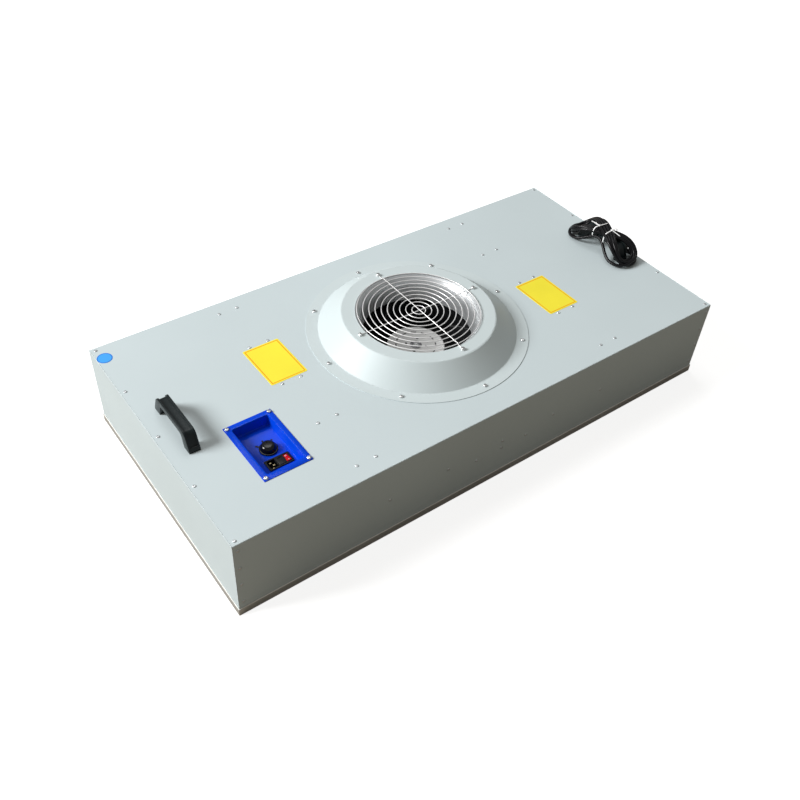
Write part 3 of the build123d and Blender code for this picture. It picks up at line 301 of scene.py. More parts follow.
    @staticmethod
    def around(radius: float, count: int, first: float = 0.0) -> list[Spot]:
        """Return spots evenly round the Z axis.

        Args:
            radius: Their distance from the axis.
            count: How many there are.
            first: The angle of the first one, in radians.

        Returns:
            The X and Y of each.
        """
        angles = [first + 2 * math.pi * step / count for step in range(count)]
        return [(radius * math.cos(angle), radius * math.sin(angle)) for angle in angles]

    @staticmethod
    def copies(piece: Piece, places: list[Matrix]) -> list[Piece]:
        """Copy a piece to several places, each copy with its own mesh.

        Args:
            piece: The piece at the origin. It is removed afterwards.
            places: One matrix for each copy.

        Returns:
            The copies, each with its place in its mesh.
        """
        made = []
        for place in places:
            copy = piece.copy()
            copy.data = piece.data.copy()
            bpy.context.scene.collection.objects.link(copy)
            copy.data.transform(place)
            made.append(copy)
        bpy.data.objects.remove(piece)
        return made


# ---------------------------------------------------------------- shader effects
class Wiring:
    """Adds nodes to one shader tree and feeds their inputs."""

    def __init__(self, tree: Tree) -> None:
        """Keep the tree."""
        self.tree = tree

    def feed(self, node: bpy.types.Node, inputs: dict) -> None:
        """Give each input its number, or link the socket that feeds it."""
        for key, value in inputs.items():
            if isinstance(value, Socket):
                self.tree.links.new(value, node.inputs[key])
            else:
                node.inputs[key].default_value = value

    def add(self, kind: str, inputs: dict | None = None, operation: str = "") -> bpy.types.Node:
        """Add a node.

        Args:
            kind: Its type, without the leading ShaderNode.
            inputs: What feeds its inputs, by name or number.
            operation: What a maths node does.

        Returns:
            The node.
        """
        node = self.tree.nodes.new(f"ShaderNode{kind}")
        if operation:
            node.operation = operation
        self.feed(node, inputs or {})
        return node

    def maths(self, operation: str, *values) -> Socket:
        """Work out something from numbers or sockets."""
        return self.add("Math", dict(enumerate(values)), operation).outputs["Value"]

    def mix(self, mask, first, second) -> Socket:
        """Mix two colours by a mask."""
        node = self.tree.nodes.new("ShaderNodeMix")
        node.data_type = "RGBA"
        self.feed(node, {"Factor": mask, "A": first, "B": second})
        return node.outputs["Result"]

    def blend(self, mask, first, second) -> Socket:
        """Mix two shaders by a mask."""
        return self.add("MixShader", {"Fac": mask, 1: first, 2: second}).outputs["Shader"]

    def place(self) -> Socket:
        """Return a surface point's place in its object."""
        return self.add("TexCoord").outputs["Object"]

    def noise(self, place, scale, detail: float) -> Socket:
        """Return noise at a place."""
        inputs = {"Vector": place, "Scale": scale, "Detail": detail}
        return self.add("TexNoise", inputs).outputs["Fac"]

    def spread(self, mask, low: float, high: float) -> Socket:
        """Spread the middle of a mask, from 0.3 to 0.7, over a range of values."""
        inputs = {"Value": mask, "From Min": 0.3, "From Max": 0.7, "To Min": low, "To Max": high}
        return self.add("MapRange", inputs).outputs["Result"]

    def rays(self, *names: str) -> Socket:
        """Return a mask that is 1 for the named rays of Light Path."""
        path = self.add("LightPath")
        mask = path.outputs[names[0]]
        for name in names[1:]:
            mask = self.maths("MAXIMUM", mask, path.outputs[name])
        return mask


class Effect(Enum):
    """Shader node groups that several finishes share."""

    MOTTLE = "surface_mottle"
    BRUSH = "drawn_grain"
    DUST = "settled_dust"


class EffectShelf:
    """Builds each shader group once and places it in materials."""

    @staticmethod
    def _new(effect: Effect, inputs: dict[str, float], *outputs: str):
        """Start a node group.

        Args:
            effect: The group's name.
            inputs: Named inputs and their defaults.
            outputs: Names of the outputs.

        Returns:
            The group's wiring, its input node's outputs and its output node.
        """
        group = bpy.data.node_groups.new(effect.value, "ShaderNodeTree")
        for name, value in inputs.items():
            socket = group.interface.new_socket(name, in_out="INPUT", socket_type="NodeSocketFloat")
            socket.default_value = value
        for name in outputs:
            group.interface.new_socket(name, in_out="OUTPUT", socket_type="NodeSocketFloat")
        given = group.nodes.new("NodeGroupInput").outputs
        return Wiring(group), given, group.nodes.new("NodeGroupOutput")

    @classmethod
    def use(cls, wiring: Wiring, effect: Effect, inputs: dict):
        """Place an effect, built the first time it is asked for.

        Args:
            wiring: The material's wiring.
            effect: The effect.
            inputs: What feeds its inputs.

        Returns:
            The outputs of the placed group.
        """
        makers = {Effect.MOTTLE: cls._mottle, Effect.BRUSH: cls._brush, Effect.DUST: cls._dust}
        node = wiring.add("Group")
        node.node_tree = bpy.data.node_groups.get(effect.value) or makers[effect]()
        wiring.feed(node, inputs)
        return node.outputs

    @classmethod
    def _mottle(cls) -> Tree:
        """Soft clouds and a fine orange-peel grain."""
        scales = {"Cloud Scale": 6.0, "Grain Scale": 900.0}
        wiring, given, sink = cls._new(Effect.MOTTLE, scales, "Cloud", "Grain")
        for name, detail in (("Cloud", 5.0), ("Grain", 2.0)):
            wiring.feed(sink, {name: wiring.noise(wiring.place(), given[f"{name} Scale"], detail)})
        return wiring.tree

    @classmethod
    def _brush(cls) -> Tree:
        """Lines drawn along X, broken up a little."""
        wiring, given, sink = cls._new(Effect.BRUSH, {"Scale": 60.0, "Stretch": 40.0}, "Line")
        stretch = {"X": 1.0, "Y": given["Stretch"], "Z": given["Stretch"]}
        factors = wiring.add("CombineXYZ", stretch).outputs["Vector"]
        drawn = wiring.add("VectorMath", {0: wiring.place(), 1: factors}, "MULTIPLY")
        wiring.feed(sink, {"Line": wiring.noise(drawn.outputs["Vector"], given["Scale"], 3.0)})
        return wiring.tree

    @classmethod
    def _dust(cls) -> Tree:
        """Dust on what faces up, thinner in patches."""
        wiring, given, sink = cls._new(Effect.DUST, {"Scale": 25.0, "Amount": 0.1}, "Film")
        normal = wiring.add("NewGeometry").outputs["Normal"]
        rise = wiring.add("SeparateXYZ", {"Vector": normal}).outputs["Z"]
        up = wiring.add("MapRange", {"Value": rise, "From Min": 0.5}).outputs["Result"]
        patch = wiring.maths("MULTIPLY", up, wiring.noise(wiring.place(), given["Scale"], 6.0))
        wiring.feed(sink, {"Film": wiring.maths("MULTIPLY", patch, given["Amount"])})
        return wiring.tree


# ---------------------------------------------------------------- finishes
@dataclass(frozen=True)
class Finish:
    """One surface finish: a base colour with clouds, grain and dust.

    Attributes:
        name: The material's name.
        colour: Its linear colour.
        metallic: 0 for paint and plastic, 1 for bare metal.
        roughness: Its mean roughness.
        cloud: How far clouds lighten and darken the colour.
        cloud_scale: Clouds in a metre.
        rough_swing: How far the clouds move the roughness.
        grain: Depth of the fine grain.
        grain_scale: Grains in a metre.
        brushed: Whether the grain is drawn into lines along X.
        dust: How much dust lies on what faces up.
        coat: Weight of a clear coat.
        specular: Level of the surface's own reflection.
        slot: The material slot that it belongs to, where the name isn't one. Not used.
    """

    name: str
    colour: Colour
    metallic: float = 0.0
    roughness: float = 0.5
    cloud: float = 0.06
    cloud_scale: float = 8.0
    rough_swing: float = 0.1
    grain: float = 0.08
    grain_scale: float = 900.0
    brushed: bool = False
    dust: float = 0.0
    coat: float = 0.0
    specular: float = 0.5
    slot: str = ""

    def _colour(self, wiring: Wiring, cloud) -> Socket:
        """Return the clouded base colour, under its dust."""
        dark = [channel * (1 - self.cloud) for channel in self.colour]
        light = [min(1.0, channel * (1 + self.cloud)) for channel in self.colour]
        colour = wiring.mix(wiring.spread(cloud, 0, 1), (*dark, 1), (*light, 1))
        if self.dust:
            film = EffectShelf.use(wiring, Effect.DUST, {"Amount": self.dust})["Film"]
            colour = wiring.mix(film, colour, DUST_GREY)
        return self.paint(wiring, colour)

    def _bump(self, wiring: Wiring, height) -> Socket:
        """Return the normal of the grain."""
        if self.brushed:
            height = EffectShelf.use(wiring, Effect.BRUSH, {})["Line"]
        inputs = {"Strength": self.grain, "Distance": GRAIN_DEPTH, "Height": height}
        return wiring.add("Bump", inputs).outputs["Normal"]

    def build(self) -> bpy.types.Material:
        """Return the material, built the first time it is asked for."""
        title = f"{self.name}_finish"
        known = bpy.data.materials.get(title)
        if known:
            return known
        material = bpy.data.materials.new(title)
        material.use_nodes = True
        wiring = Wiring(material.node_tree)
        scales = {"Cloud Scale": self.cloud_scale, "Grain Scale": self.grain_scale}
        mottle = EffectShelf.use(wiring, Effect.MOTTLE, scales)
        low = max(0.03, self.roughness - self.rough_swing / 2)
        high = min(1.0, self.roughness + self.rough_swing / 2)
        inputs = {
            "Base Color": self._colour(wiring, mottle["Cloud"]),
            "Metallic": self.metallic,
            "Roughness": wiring.spread(mottle["Cloud"], low, high),
            "Normal": self._bump(wiring, mottle["Grain"]),
            "Specular IOR Level": self.specular,
            "Coat Weight": self.coat,
            "Coat Roughness": COAT_ROUGHNESS,
        }
        wiring.feed(material.node_tree.nodes["Principled BSDF"], inputs)
        return material

    def paint(self, wiring: Wiring, colour) -> Socket:
        """Return the colour that shows. A printed finish overrides this."""
        return colour


@dataclass(frozen=True)
class BorderedFinish(Finish):
    """A printed field with a thin line set in from its edge.

    Attributes:
        centre: The middle of the field.
        half_size: Half its length and half its width.
        inset: From the edge to the line.
        line: The line's width.
        ink: The line's linear colour.
    """

    centre: Spot = (0.0, 0.0)
    half_size: Spot = (0.040, 0.0575)
    inset: float = 0.0030
    line: float = 0.0020
    ink: Colour = (0.80, 0.30, 0.01)

    def paint(self, wiring: Wiring, colour) -> Socket:
        """Print the line over the colour."""
        away = (-self.centre[0], -self.centre[1], 0)
        shift = wiring.add("Mapping", {"Vector": wiring.place(), "Location": away})
        split = wiring.add("SeparateXYZ", {"Vector": shift.outputs["Vector"]})
        depths = [
            wiring.maths("SUBTRACT", half, wiring.maths("ABSOLUTE", split.outputs[axis]))
            for axis, half in zip("XY", self.half_size)
        ]
        depth, reach = wiring.maths("MINIMUM", *depths), self.line / 2
        mask = wiring.maths("COMPARE", depth, self.inset + reach, reach)
        return wiring.mix(mask, colour, (*self.ink, 1))


HOUSING = Finish(
    "housing_paint", (0.530, 0.605, 0.625), 0.0, 0.48, cloud=0.025, cloud_scale=3.0, specular=0.35
)
RIM = Finish("rim_aluminium", (0.62, 0.63, 0.63), 0.7, 0.38, brushed=True)
# Pale paint for the bead above the rim: a painted highlight, lighter than the rim that it sits on.
PAINTED_HIGHLIGHT_BEAD = Finish("rim_highlight_bead", (0.85, 0.84, 0.80), 0.0, 0.5, specular=0.3, slot="rim_aluminium")
RIVET = Finish("rivet_steel", (0.60, 0.62, 0.63), 0.8, 0.35, cloud_scale=60)
GALVANISED = Finish("galvanised", (0.50, 0.52, 0.53), 0.8, 0.45, cloud=0.14, cloud_scale=45)
FRAME = Finish("filter_aluminium", (0.66, 0.67, 0.68), 0.75, 0.36, brushed=True)
PAPER = Finish(
    "filter_paper", (0.82, 0.82, 0.79), 0.0, 0.95, cloud_scale=40, grain=0.5, grain_scale=500
)
GUARD_WHITE = Finish("guard_white", (0.80, 0.81, 0.81), 0.0, 0.45)
GASKET = Finish("gasket_rubber", (0.03, 0.03, 0.032), 0.0, 0.9, grain=0.4)
SCREW = Finish("screw_steel", (0.66, 0.67, 0.67), 0.95, 0.24, cloud_scale=150)
COLLAR = Finish(
    "collar_paint", (0.550, 0.622, 0.635), 0.0, 0.42, cloud=0.02, cloud_scale=5, specular=0.4
)
BARE = {"cloud": 0.02, "cloud_scale": 10, "rough_swing": 0.02, "grain": 0.0}
NOZZLE = Finish("nozzle_aluminium", (0.60, 0.62, 0.63), 0.75, 0.46, **BARE)
CHROME = Finish("guard_chrome", (0.86, 0.86, 0.86), 0.45, 0.34, cloud=0.02, rough_swing=0.05)
CAST = Finish("cast_aluminium", (0.50, 0.51, 0.52), 0.85, 0.5, grain=0.5, grain_scale=1400)
CORE = Finish("core_steel", (0.20, 0.20, 0.21), 0.8, 0.5)
COPPER = Finish("copper", (0.55, 0.20, 0.07), 0.9, 0.35, grain=0.5)
ROTOR = Finish("rotor_aluminium", (0.60, 0.60, 0.59), 0.6, 0.5, cloud_scale=60, grain=0.02)
MAGNET = Finish("magnet_iron", (0.08, 0.08, 0.085), 0.3, 0.7)
WHEEL = Finish("impeller_black", (0.010, 0.011, 0.012), 0.0, 0.40, dust=0.02)
TRAY = Finish("tray_blue", (0.001, 0.052, 0.60), 0.0, 0.22, grain=0.0, coat=0.12, specular=0.05)
BOARD = Finish("board_green", (0.01, 0.10, 0.035), 0.0, 0.5)
CAPACITOR = Finish("capacitor_grey", (0.30, 0.31, 0.33), 0.0, 0.4)
POT = Finish("pot_metal", (0.40, 0.38, 0.33), 0.9, 0.4)
KNOB = Finish("knob_black", (0.004, 0.004, 0.005), 0.0, 0.16, grain=0.0, specular=0.3)
INLET = Finish("inlet_black", (0.006, 0.007, 0.008), 0.0, 0.40, specular=0.16)
PIN = Finish("pin_brass", (0.42, 0.36, 0.22), 1.0, 0.4)
GLASS = Finish("fuse_glass", (0.75, 0.82, 0.82), 0.0, 0.1)
ROCKER = Finish("rocker_red", (0.50, 0.004, 0.003), 0.0, 0.25, coat=0.2, specular=0.2)
LEAD = Finish("lead_black", (0.010, 0.010, 0.012), 0.0, 0.6)
GLAND = Finish("gland_black", (0.012, 0.012, 0.014), 0.0, 0.6)
HANDLE = Finish(
    "handle_black", (0.005, 0.010, 0.011), 0.0, 0.33, grain=0.12, grain_scale=1600, specular=0.28
)
YELLOW = (0.87, 0.76, 0.045)
PRINT = {"colour": YELLOW, "roughness": 0.45, "specular": 0.2}
LABEL_LEFT = BorderedFinish("label_yellow", centre=(-0.302, 0.0635), **PRINT)
LABEL_RIGHT = BorderedFinish("label_yellow_right", centre=(0.3045, -0.0635), **PRINT)
STICKER_BLUE = Finish("sticker_blue", (0.055, 0.36, 0.86), 0.0, 0.35, specular=0.3)
STICKER_RIM = Finish(
    "sticker_rim", (0.02, 0.13, 0.60), 0.0, 0.35, specular=0.3, slot="sticker_blue"
)
CORD = Finish("cord_black", (0.004, 0.004, 0.005), 0.0, 0.27, grain=0.03, specular=0.22)
PLUG = Finish("plug_black", (0.006, 0.006, 0.007), 0.0, 0.42, grain=0.2, specular=0.2)
TIE = Finish("tie_white", (0.80, 0.81, 0.81), 0.0, 0.4)

NODE_FINISHES: dict[Finish, tuple[str, ...]] = {
    HOUSING: ("housing_shell", "end_panel_left", "end_panel_right"),
    RIM: ("base_rim",),
    RIVET: ("top_rivets", "side_rivets"),
    GALVANISED: (
        "top_rib_left",
        "top_rib_right",
        "fan_deck",
        "motor_bridge",
        "seal_shelf",
        "electrical_box",
        "filter_clips",
    ),
    FRAME: ("filter_frame",),
    PAPER: ("filter_media",),
    GUARD_WHITE: ("outlet_guard",),
    GASKET: ("filter_gasket",),
    SCREW: (
        "clip_screws",
        "collar_screws",
        "guard_screws",
        "tray_screws",
        "motor_screws",
        "motor_bearings",
        "motor_shaft",
        "impeller_rivets",
        "potentiometer_nut",
        "knob_spindle",
        "handle_screws",
    ),
    COLLAR: ("inlet_collar",),
    NOZZLE: ("inlet_nozzle",),
    CHROME: ("finger_guard",),
    CAST: ("motor_base",),
    CORE: ("motor_core",),
    COPPER: ("motor_winding",),
    ROTOR: ("rotor_can",),
    MAGNET: ("magnet_ring",),
    WHEEL: ("impeller_back_plate", "impeller_shroud", "impeller_blades"),
    TRAY: ("control_tray",),
    BOARD: ("control_board",),
    CAPACITOR: ("run_capacitor",),
    POT: ("potentiometer",),
    KNOB: ("speed_knob",),
    INLET: ("power_inlet", "fuse_drawer"),
    PIN: ("inlet_pins",),
    GLASS: ("fuse",),
    ROCKER: ("rocker",),
    LEAD: ("motor_lead",),
    GLAND: ("lead_gland",),
    HANDLE: ("handle_left", "handle_right"),
    LABEL_LEFT: ("label_left",),
    LABEL_RIGHT: ("label_right",),
    STICKER_BLUE: ("round_sticker",),
    CORD: ("cord_hank",),
    PLUG: ("mains_plug", "cord_connector"),
    TIE: ("cord_ties",),
}


def wear(piece: Piece, finish: Finish) -> None:
    """Give a piece one finish all over."""
    piece.data.materials.clear()
    piece.data.materials.append(finish.build())


def mount(piece: Piece, body: str, finish: Finish, *nodes: str) -> None:
    """Finish a new piece, ride it on a body and let it stand for CAD nodes.

    Args:
        piece: The new piece.
        body: The body that it moves with.
        finish: Its finish.
        nodes: The CAD nodes that it replaces.
    """
    if finish:
        wear(piece, finish)
    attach(piece, body)
    if nodes:
        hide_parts(*nodes)
    LOG.info("%s rides on %s", piece.name, body)


# ---------------------------------------------------------------- studio
@dataclass
class Studio:
    """Camera, lamps, world and floor."""

    eye: Point = (-0.94120, -1.12263, 1.36964)
    turn_degrees: Point = (46.36434, -2.96240, -36.17778)
    lens_mm: float = 40.80
    sensor_mm: float = 36.0
    clip_end: float = 30.0
    lamps: tuple[tuple[str, Point, float, float], ...] = (
        ("window", (-7.5, 3.5, 5.5), 3.5, 1180.0),
        ("ceiling", (0.6, 2.8, 6.0), 3.0, 90.0),
        ("strip", (-6.2, 5.2, 4.9), 1.6, 95.0),
    )
    soft_colour: Colour = (1.0, 0.95, 0.87)
    soft_strength: float = 0.24
    mirrored_strength: float = 0.35
    floor_size: float = 14.0
    floor_gap: float = 0.0004
    floor_pale: Colour = (0.50, 0.50, 0.50)
    floor_lift: float = 0.81
    floor_grey: Colour = (0.28, 0.240, 0.185)

    def place_camera(self) -> None:
        """Add the camera and make it the scene's own."""
        data = bpy.data.cameras.new("camera")
        data.lens = self.lens_mm
        data.sensor_width = self.sensor_mm
        data.clip_end = self.clip_end
        camera = bpy.data.objects.new("camera", data)
        camera.location = self.eye
        camera.rotation_euler = [math.radians(angle) for angle in self.turn_degrees]
        bpy.context.scene.collection.objects.link(camera)
        bpy.context.scene.camera = camera

    def light(self) -> None:
        """Add the lamps and the world."""
        for name, place, size, power in self.lamps:
            data = bpy.data.lights.new(name, "AREA")
            data.size = size
            data.energy = power
            lamp = bpy.data.objects.new(name, data)
            lamp.location = place
            lamp.rotation_euler = (-Vector(place)).to_track_quat("-Z", "Y").to_euler()
            bpy.context.scene.collection.objects.link(lamp)
        world = bpy.data.worlds.new("studio")
        bpy.context.scene.world = world
        world.use_nodes = True
        world.node_tree.nodes.clear()
        wiring = Wiring(world.node_tree)
        soft = {"Color": (*self.soft_colour, 1), "Strength": self.soft_strength}
        shader = wiring.add("Background", soft).outputs["Background"]
        for rays, strength in (
            (("Is Glossy Ray",), self.mirrored_strength),
            (("Is Camera Ray", "Is Transmission Ray"), 1.0),
        ):
            white = wiring.add("Background", {"Color": (1, 1, 1, 1), "Strength": strength})
            shader = wiring.blend(wiring.rays(*rays), shader, white.outputs["Background"])
        wiring.add("OutputWorld", {"Surface": shader})

    def lay_floor(self) -> None:
        """Lay a pale floor that stays white and keeps a soft shadow."""
        Bench.clear()
        bpy.ops.mesh.primitive_plane_add(size=self.floor_size, location=(0, 0, -self.floor_gap))
        floor = bpy.context.object
        floor.name = "studio_floor"
        material = bpy.data.materials.new("studio_floor")
        material.use_nodes = True
        material.node_tree.nodes.clear()
        wiring = Wiring(material.node_tree)
        pale = wiring.add("BsdfDiffuse", {"Color": (*self.floor_pale, 1)}).outputs["BSDF"]
        lift = wiring.add("Emission", {"Strength": self.floor_lift}).outputs["Emission"]
        lit = wiring.add("AddShader", {0: pale, 1: lift}).outputs["Shader"]
        grey = wiring.add("BsdfDiffuse", {"Color": (*self.floor_grey, 1)}).outputs["BSDF"]
        seen = wiring.rays("Is Camera Ray", "Is Transmission Ray")
        wiring.add("OutputMaterial", {"Surface": wiring.blend(seen, grey, lit)})
        floor.data.materials.append(material)


# ---------------------------------------------------------------- fasteners
@dataclass(frozen=True)
class Head:
    """A domed round head that stands on the origin."""

    radius: float
    height: float
    crown: float
    sides: int
    steps: int

    def dome(self) -> Piece:
        """Return the plain head."""
        head = Bench.tube((0, 0, self.height / 2), self.radius, self.height, self.sides)
        top = self.height - HAIR
        Bench.soften(head, self.crown, self.steps, lambda middle, way: middle.z > top)
        return head


@dataclass(frozen=True)
class PanScrew(Head):
    """The head of a pan screw with a cross recess."""

    radius: float = 0.0042
    height: float = 0.0027
    crown: float = 0.0014
    sides: int = 20
    steps: int = 3
    slot_length: float = 0.0046
    slot_width: float = 0.0009
    slot_depth: float = 0.0011

    def model(self) -> Piece:
        """Return one head."""
        head = self.dome()
        long, wide, deep = self.slot_length, self.slot_width, 2 * self.slot_depth
        for size in ((long, wide, deep), (wide, long, deep)):
            Bench.carve(head, Bench.block((0, 0, self.height), size))
        Bench.smooth(head, 40)
        return head


@dataclass(frozen=True)
class BlindRivet(Head):
    """The head of a blind rivet with the dimple of its broken mandrel."""

    radius: float = 0.0032
    height: float = 0.0014
    crown: float = 0.0009
    sides: int = 16
    steps: int = 2
    dimple_radius: float = 0.0010
    dimple_depth: float = 0.0006

    def model(self) -> Piece:
        """Return one head."""
        head = self.dome()
        top = self.height - HAIR
        inset = self.radius - self.crown - self.dimple_radius
        with Bench.editing(head, Kind.FACE, lambda middle, way: middle.z > top and way.z > UPRIGHT):
            bpy.ops.mesh.inset(thickness=inset)
            sink = {"value": (0, 0, -self.dimple_depth)}
            bpy.ops.mesh.extrude_region_move(TRANSFORM_OT_translate=sink)
        Bench.smooth(head, 50)
        return head


@dataclass
class Fasteners:
    """Screws and rivets that show on the outside."""

    top_z: float = 0.190
    sheet: float = 0.0012
    collar_circle: float = 0.2175
    collar_count: int = 8
    guard_circle: float = 0.1435
    guard_count: int = 4
    guard_top: float = 0.232
    turn: float = 37.0
    first_turn: float = 20.0
    tray_centre: Spot = (-0.426, -0.1215)
    tray_spacing: Spot = (0.0866, 0.139)
    half_length: float = 0.5875
    half_width: float = 0.2875
    tuck: float = 0.0095
    rib_feet: tuple[float, ...] = (-0.323, -0.282, 0.282, 0.323)
    rib_pitch: float = 0.126
    deck_pitch: float = 0.1355
    deck_rivet_z: float = 0.099
    bridge_pitch: float = 0.064
    bridge_rivet_z: float = 0.080
    post_shares: tuple[float, ...] = (0.1, 0.38, 0.64, 0.91)
    post_foot: float = 0.016
    post_height: float = 0.174

    @staticmethod
    def _stand(x: float, y: float, z: float, turn: float = 0.0) -> Matrix:
        """Return the place of a head that stands upright."""
        return Matrix.Translation((x, y, z)) @ Matrix.Rotation(math.radians(turn), 4, "Z")

    def _circle(self, radius: float, count: int, z: float) -> list[Matrix]:
        """Return places round the fan axis, each head turned its own way."""
        spots = enumerate(Bench.around(radius, count))
        return [self._stand(x, y, z, self.turn * step + self.first_turn) for step, (x, y) in spots]

    def _tray(self) -> list[Matrix]:
        """Return the places at the tray's corners."""
        x, y = self.tray_centre
        half_x, half_y = (spacing / 2 for spacing in self.tray_spacing)
        z = self.top_z + self.sheet
        return [
            self._stand(x + side * half_x, y + end * half_y, z, 30.0 * side + 20.0 * end)
            for side in (-1, 1)
            for end in (-1, 1)
        ]

    def _tops(self) -> list[Matrix]:
        """Return the rivets along the ends and over the ribs."""
        edge_x, pitch = self.half_length - self.tuck, (self.half_width - self.tuck) / 2
        rows = [(side * edge_x, pitch) for side in (-1, 1)]
        rows += [(foot, self.rib_pitch) for foot in self.rib_feet]
        steps = range(-2, 3)
        return [self._stand(x, step * pitch, self.top_z) for x, pitch in rows for step in steps]

    def _sides(self) -> list[Matrix]:
        """Return the rivets on both long sides: deck, bridge and corner posts."""
        edge_x = self.half_length - self.tuck
        spots = [(step * self.deck_pitch, self.deck_rivet_z) for step in range(-2, 3)]
        spots += [(step * self.bridge_pitch, self.bridge_rivet_z) for step in range(-1, 2)]
        spots += [
            (side * edge_x, self.post_foot + share * self.post_height)
            for side in (-1, 1)
            for share in self.post_shares
        ]
        return [
            Matrix.Translation((x, face * self.half_width, z))
            @ Matrix.Rotation(-face * math.pi / 2, 4, "X")
            for face in (-1, 1)
            for x, z in spots
        ]

    def build(self) -> None:
        """Model each kind of head and copy it to its places."""
        sheet_z = self.top_z + self.sheet
        collar = self._circle(self.collar_circle, self.collar_count, sheet_z)
        guard = self._circle(self.guard_circle, self.guard_count, self.guard_top)
        for name, head, finish, places in (
            ("collar_screws", PanScrew(), SCREW, collar),
            ("guard_screws", PanScrew(), SCREW, guard),
            ("tray_screws", PanScrew(), SCREW, self._tray()),
            ("top_rivets", BlindRivet(), RIVET, self._tops()),
            ("side_rivets", BlindRivet(), RIVET, self._sides()),
        ):
            heads = Bench.join(Bench.copies(head.model(), places), f"{name}_heads")
            mount(heads, "unit", finish, name)


# ---------------------------------------------------------------- air inlet
@dataclass
class FingerGuard:
    """Welded wire guard: rings between two crossed spokes."""

    foot_z: float = 0.230
    wire: float = 0.002
    bite: float = 0.0003
    ring_count: int = 10
    first_radius: float = 0.014
    pitch: float = 0.0125
    screw_circle: float = 0.1435
    eye_radius: float = 0.0034

    def build(self) -> None:
        """Weld the guard."""
        low = self.foot_z + self.wire / 2
        middle = low + self.wire - self.bite
        high = middle + self.wire - self.bite
        reach = self.screw_circle - self.eye_radius
        last = self.first_radius + (self.ring_count - 1) * self.pitch
        wires = [
            Bench.ring((0, 0, middle), self.first_radius + step * self.pitch, self.wire)
            for step in range(self.ring_count)
        ]
        wires.append(Bench.rod([(-reach, 0, low), (reach, 0, low)], self.wire / 2, 10))
        step_out = last + 2 * self.wire
        over = [
            (0, -reach, low),
            (0, -step_out, low),
            (0, -last, high),
            (0, last, high),
            (0, step_out, low),
            (0, reach, low),
        ]
        wires.append(Bench.rod(over, self.wire / 2, 10))
        for x, y in Bench.around(self.screw_circle, 4):
            wires.append(Bench.ring((x, y, low), self.eye_radius, self.wire, 24))
        guard = Bench.join(wires, "guard_wires")
        Bench.settle(guard)
        Bench.smooth(guard, 60)
        mount(guard, "unit", CHROME, "finger_guard")


@dataclass
class RotorFace:
    """What the motor's turning cap shows: a hub washer, dark screw heads, and dark inlays sunk in
    its slots that are painted shade.
    """

    top_z: float = 0.1404
    slot_circle: float = 0.0421
    slot_count: int = 12
    slot_size: Point = (0.003, 0.012, 0.0005)
    slot_depth: float = 0.0008
    screw_count: int = 4
    screw_circle: float = 0.021
    screw_size: Spot = (0.0026, 0.0006)
    washer_size: Spot = (0.0125, 0.0008)
    washer_bore: float = 0.0062

    def build(self) -> None:
        """Make the dark inlays, which are painted shade in the slots, with the screw heads and the
        hub.
        """
        # A dark block sunk at the bottom of each slot: painted shade of the recess.
        slot_shade = Bench.block((0, 0, 0), self.slot_size)
        Bench.bevel(slot_shade, Easing.HAIR, 1)
        z = self.top_z - self.slot_depth + self.slot_size[2] / 2
        out = Matrix.Translation((self.slot_circle, 0, z))
        turns = [2 * math.pi * step / self.slot_count for step in range(self.slot_count)]
        slot_shades_and_screws = Bench.copies(slot_shade, [Matrix.Rotation(turn, 4, "Z") @ out for turn in turns])
        for x, y in Bench.around(self.screw_circle, self.screw_count, math.pi / 4):
            dot = Bench.tube((x, y, self.top_z), *self.screw_size, 16)
            Bench.bevel(dot, Easing.THIN, 1)
            slot_shades_and_screws.append(dot)
        # The slot inlays wear the dark magnet finish as painted shade; the screw heads share it.
        mount(Bench.join(slot_shades_and_screws, "rotor_slot_shade_and_screws"), "impeller", MAGNET)
        radius, height = self.washer_size
        washer = Bench.tube((0, 0, self.top_z + height / 2), radius, height, 40)
        Bench.carve(washer, Bench.tube((0, 0, self.top_z), self.washer_bore, 0.01, 32))
        Bench.bevel(washer, Easing.THIN)
        Bench.smooth(washer)
        washer.name = "hub_washer"
        mount(washer, "impeller", CORE)


@dataclass
class RoundSticker:
    """The printed rim of the small round sticker."""

    centre: Point = (-0.5715, 0.2485, 0.19022)
    radius: float = 0.0138
    width: float = 0.0020
    flat: float = 0.12

    def build(self) -> None:
        """Print the rim as a flattened ring."""
        rim = Bench.ring((0, 0, 0), self.radius, self.width, 48)
        rim.scale = (1, 1, self.flat)
        rim.location = self.centre
        Bench.settle(rim)
        rim.name = "sticker_edge"
        mount(rim, "unit", STICKER_RIM)


@dataclass
class FoldedEdges:
    """Rounded sheet folds at the ends, and a pale bead along the step above the rim whose colour is
    a painted highlight.
    """

    half_length: float = 0.5875
    half_width: float = 0.2875
    top_z: float = 0.190
    fold: float = 0.0007
    rim_z: float = 0.016
    bead: float = 0.0009

    def _folds(self) -> Piece:
        """Return the fold along the top of each end."""
        rods = []
        x, z = self.half_length - self.fold / 2, self.top_z - self.fold / 2
        y = self.half_width - self.fold
        for side in (-1, 1):
            line = [(side * x, -y, z), (side * x, y, z)]
            rods.append(Bench.rod(line, self.fold, 12))
        return Bench.join(rods, "end_folds")

    def _highlight_bead(self) -> Piece:
        """Return the pale bead that runs round the step, painted light as a highlight on the shaded
        ledge.
        """
        x, y = self.half_length + self.bead, self.half_width + self.bead
        z = self.rim_z + self.bead / 3
        corners = [(-x, -y, z), (x, -y, z), (x, y, z), (-x, y, z)]
        beads = [
            Bench.rod([corners[step], corners[(step + 1) % 4]], self.bead, 12) for step in range(4)
        ]
        return Bench.join(beads, "rim_highlight_bead")

    def build(self) -> None:
        """Lay the folds, and the bead painted pale as a highlight."""
        for piece, finish in ((self._folds(), HOUSING), (self._highlight_bead(), PAINTED_HIGHLIGHT_BEAD)):
            Bench.settle(piece)
            Bench.smooth(piece, 60)
            mount(piece, "unit", finish)


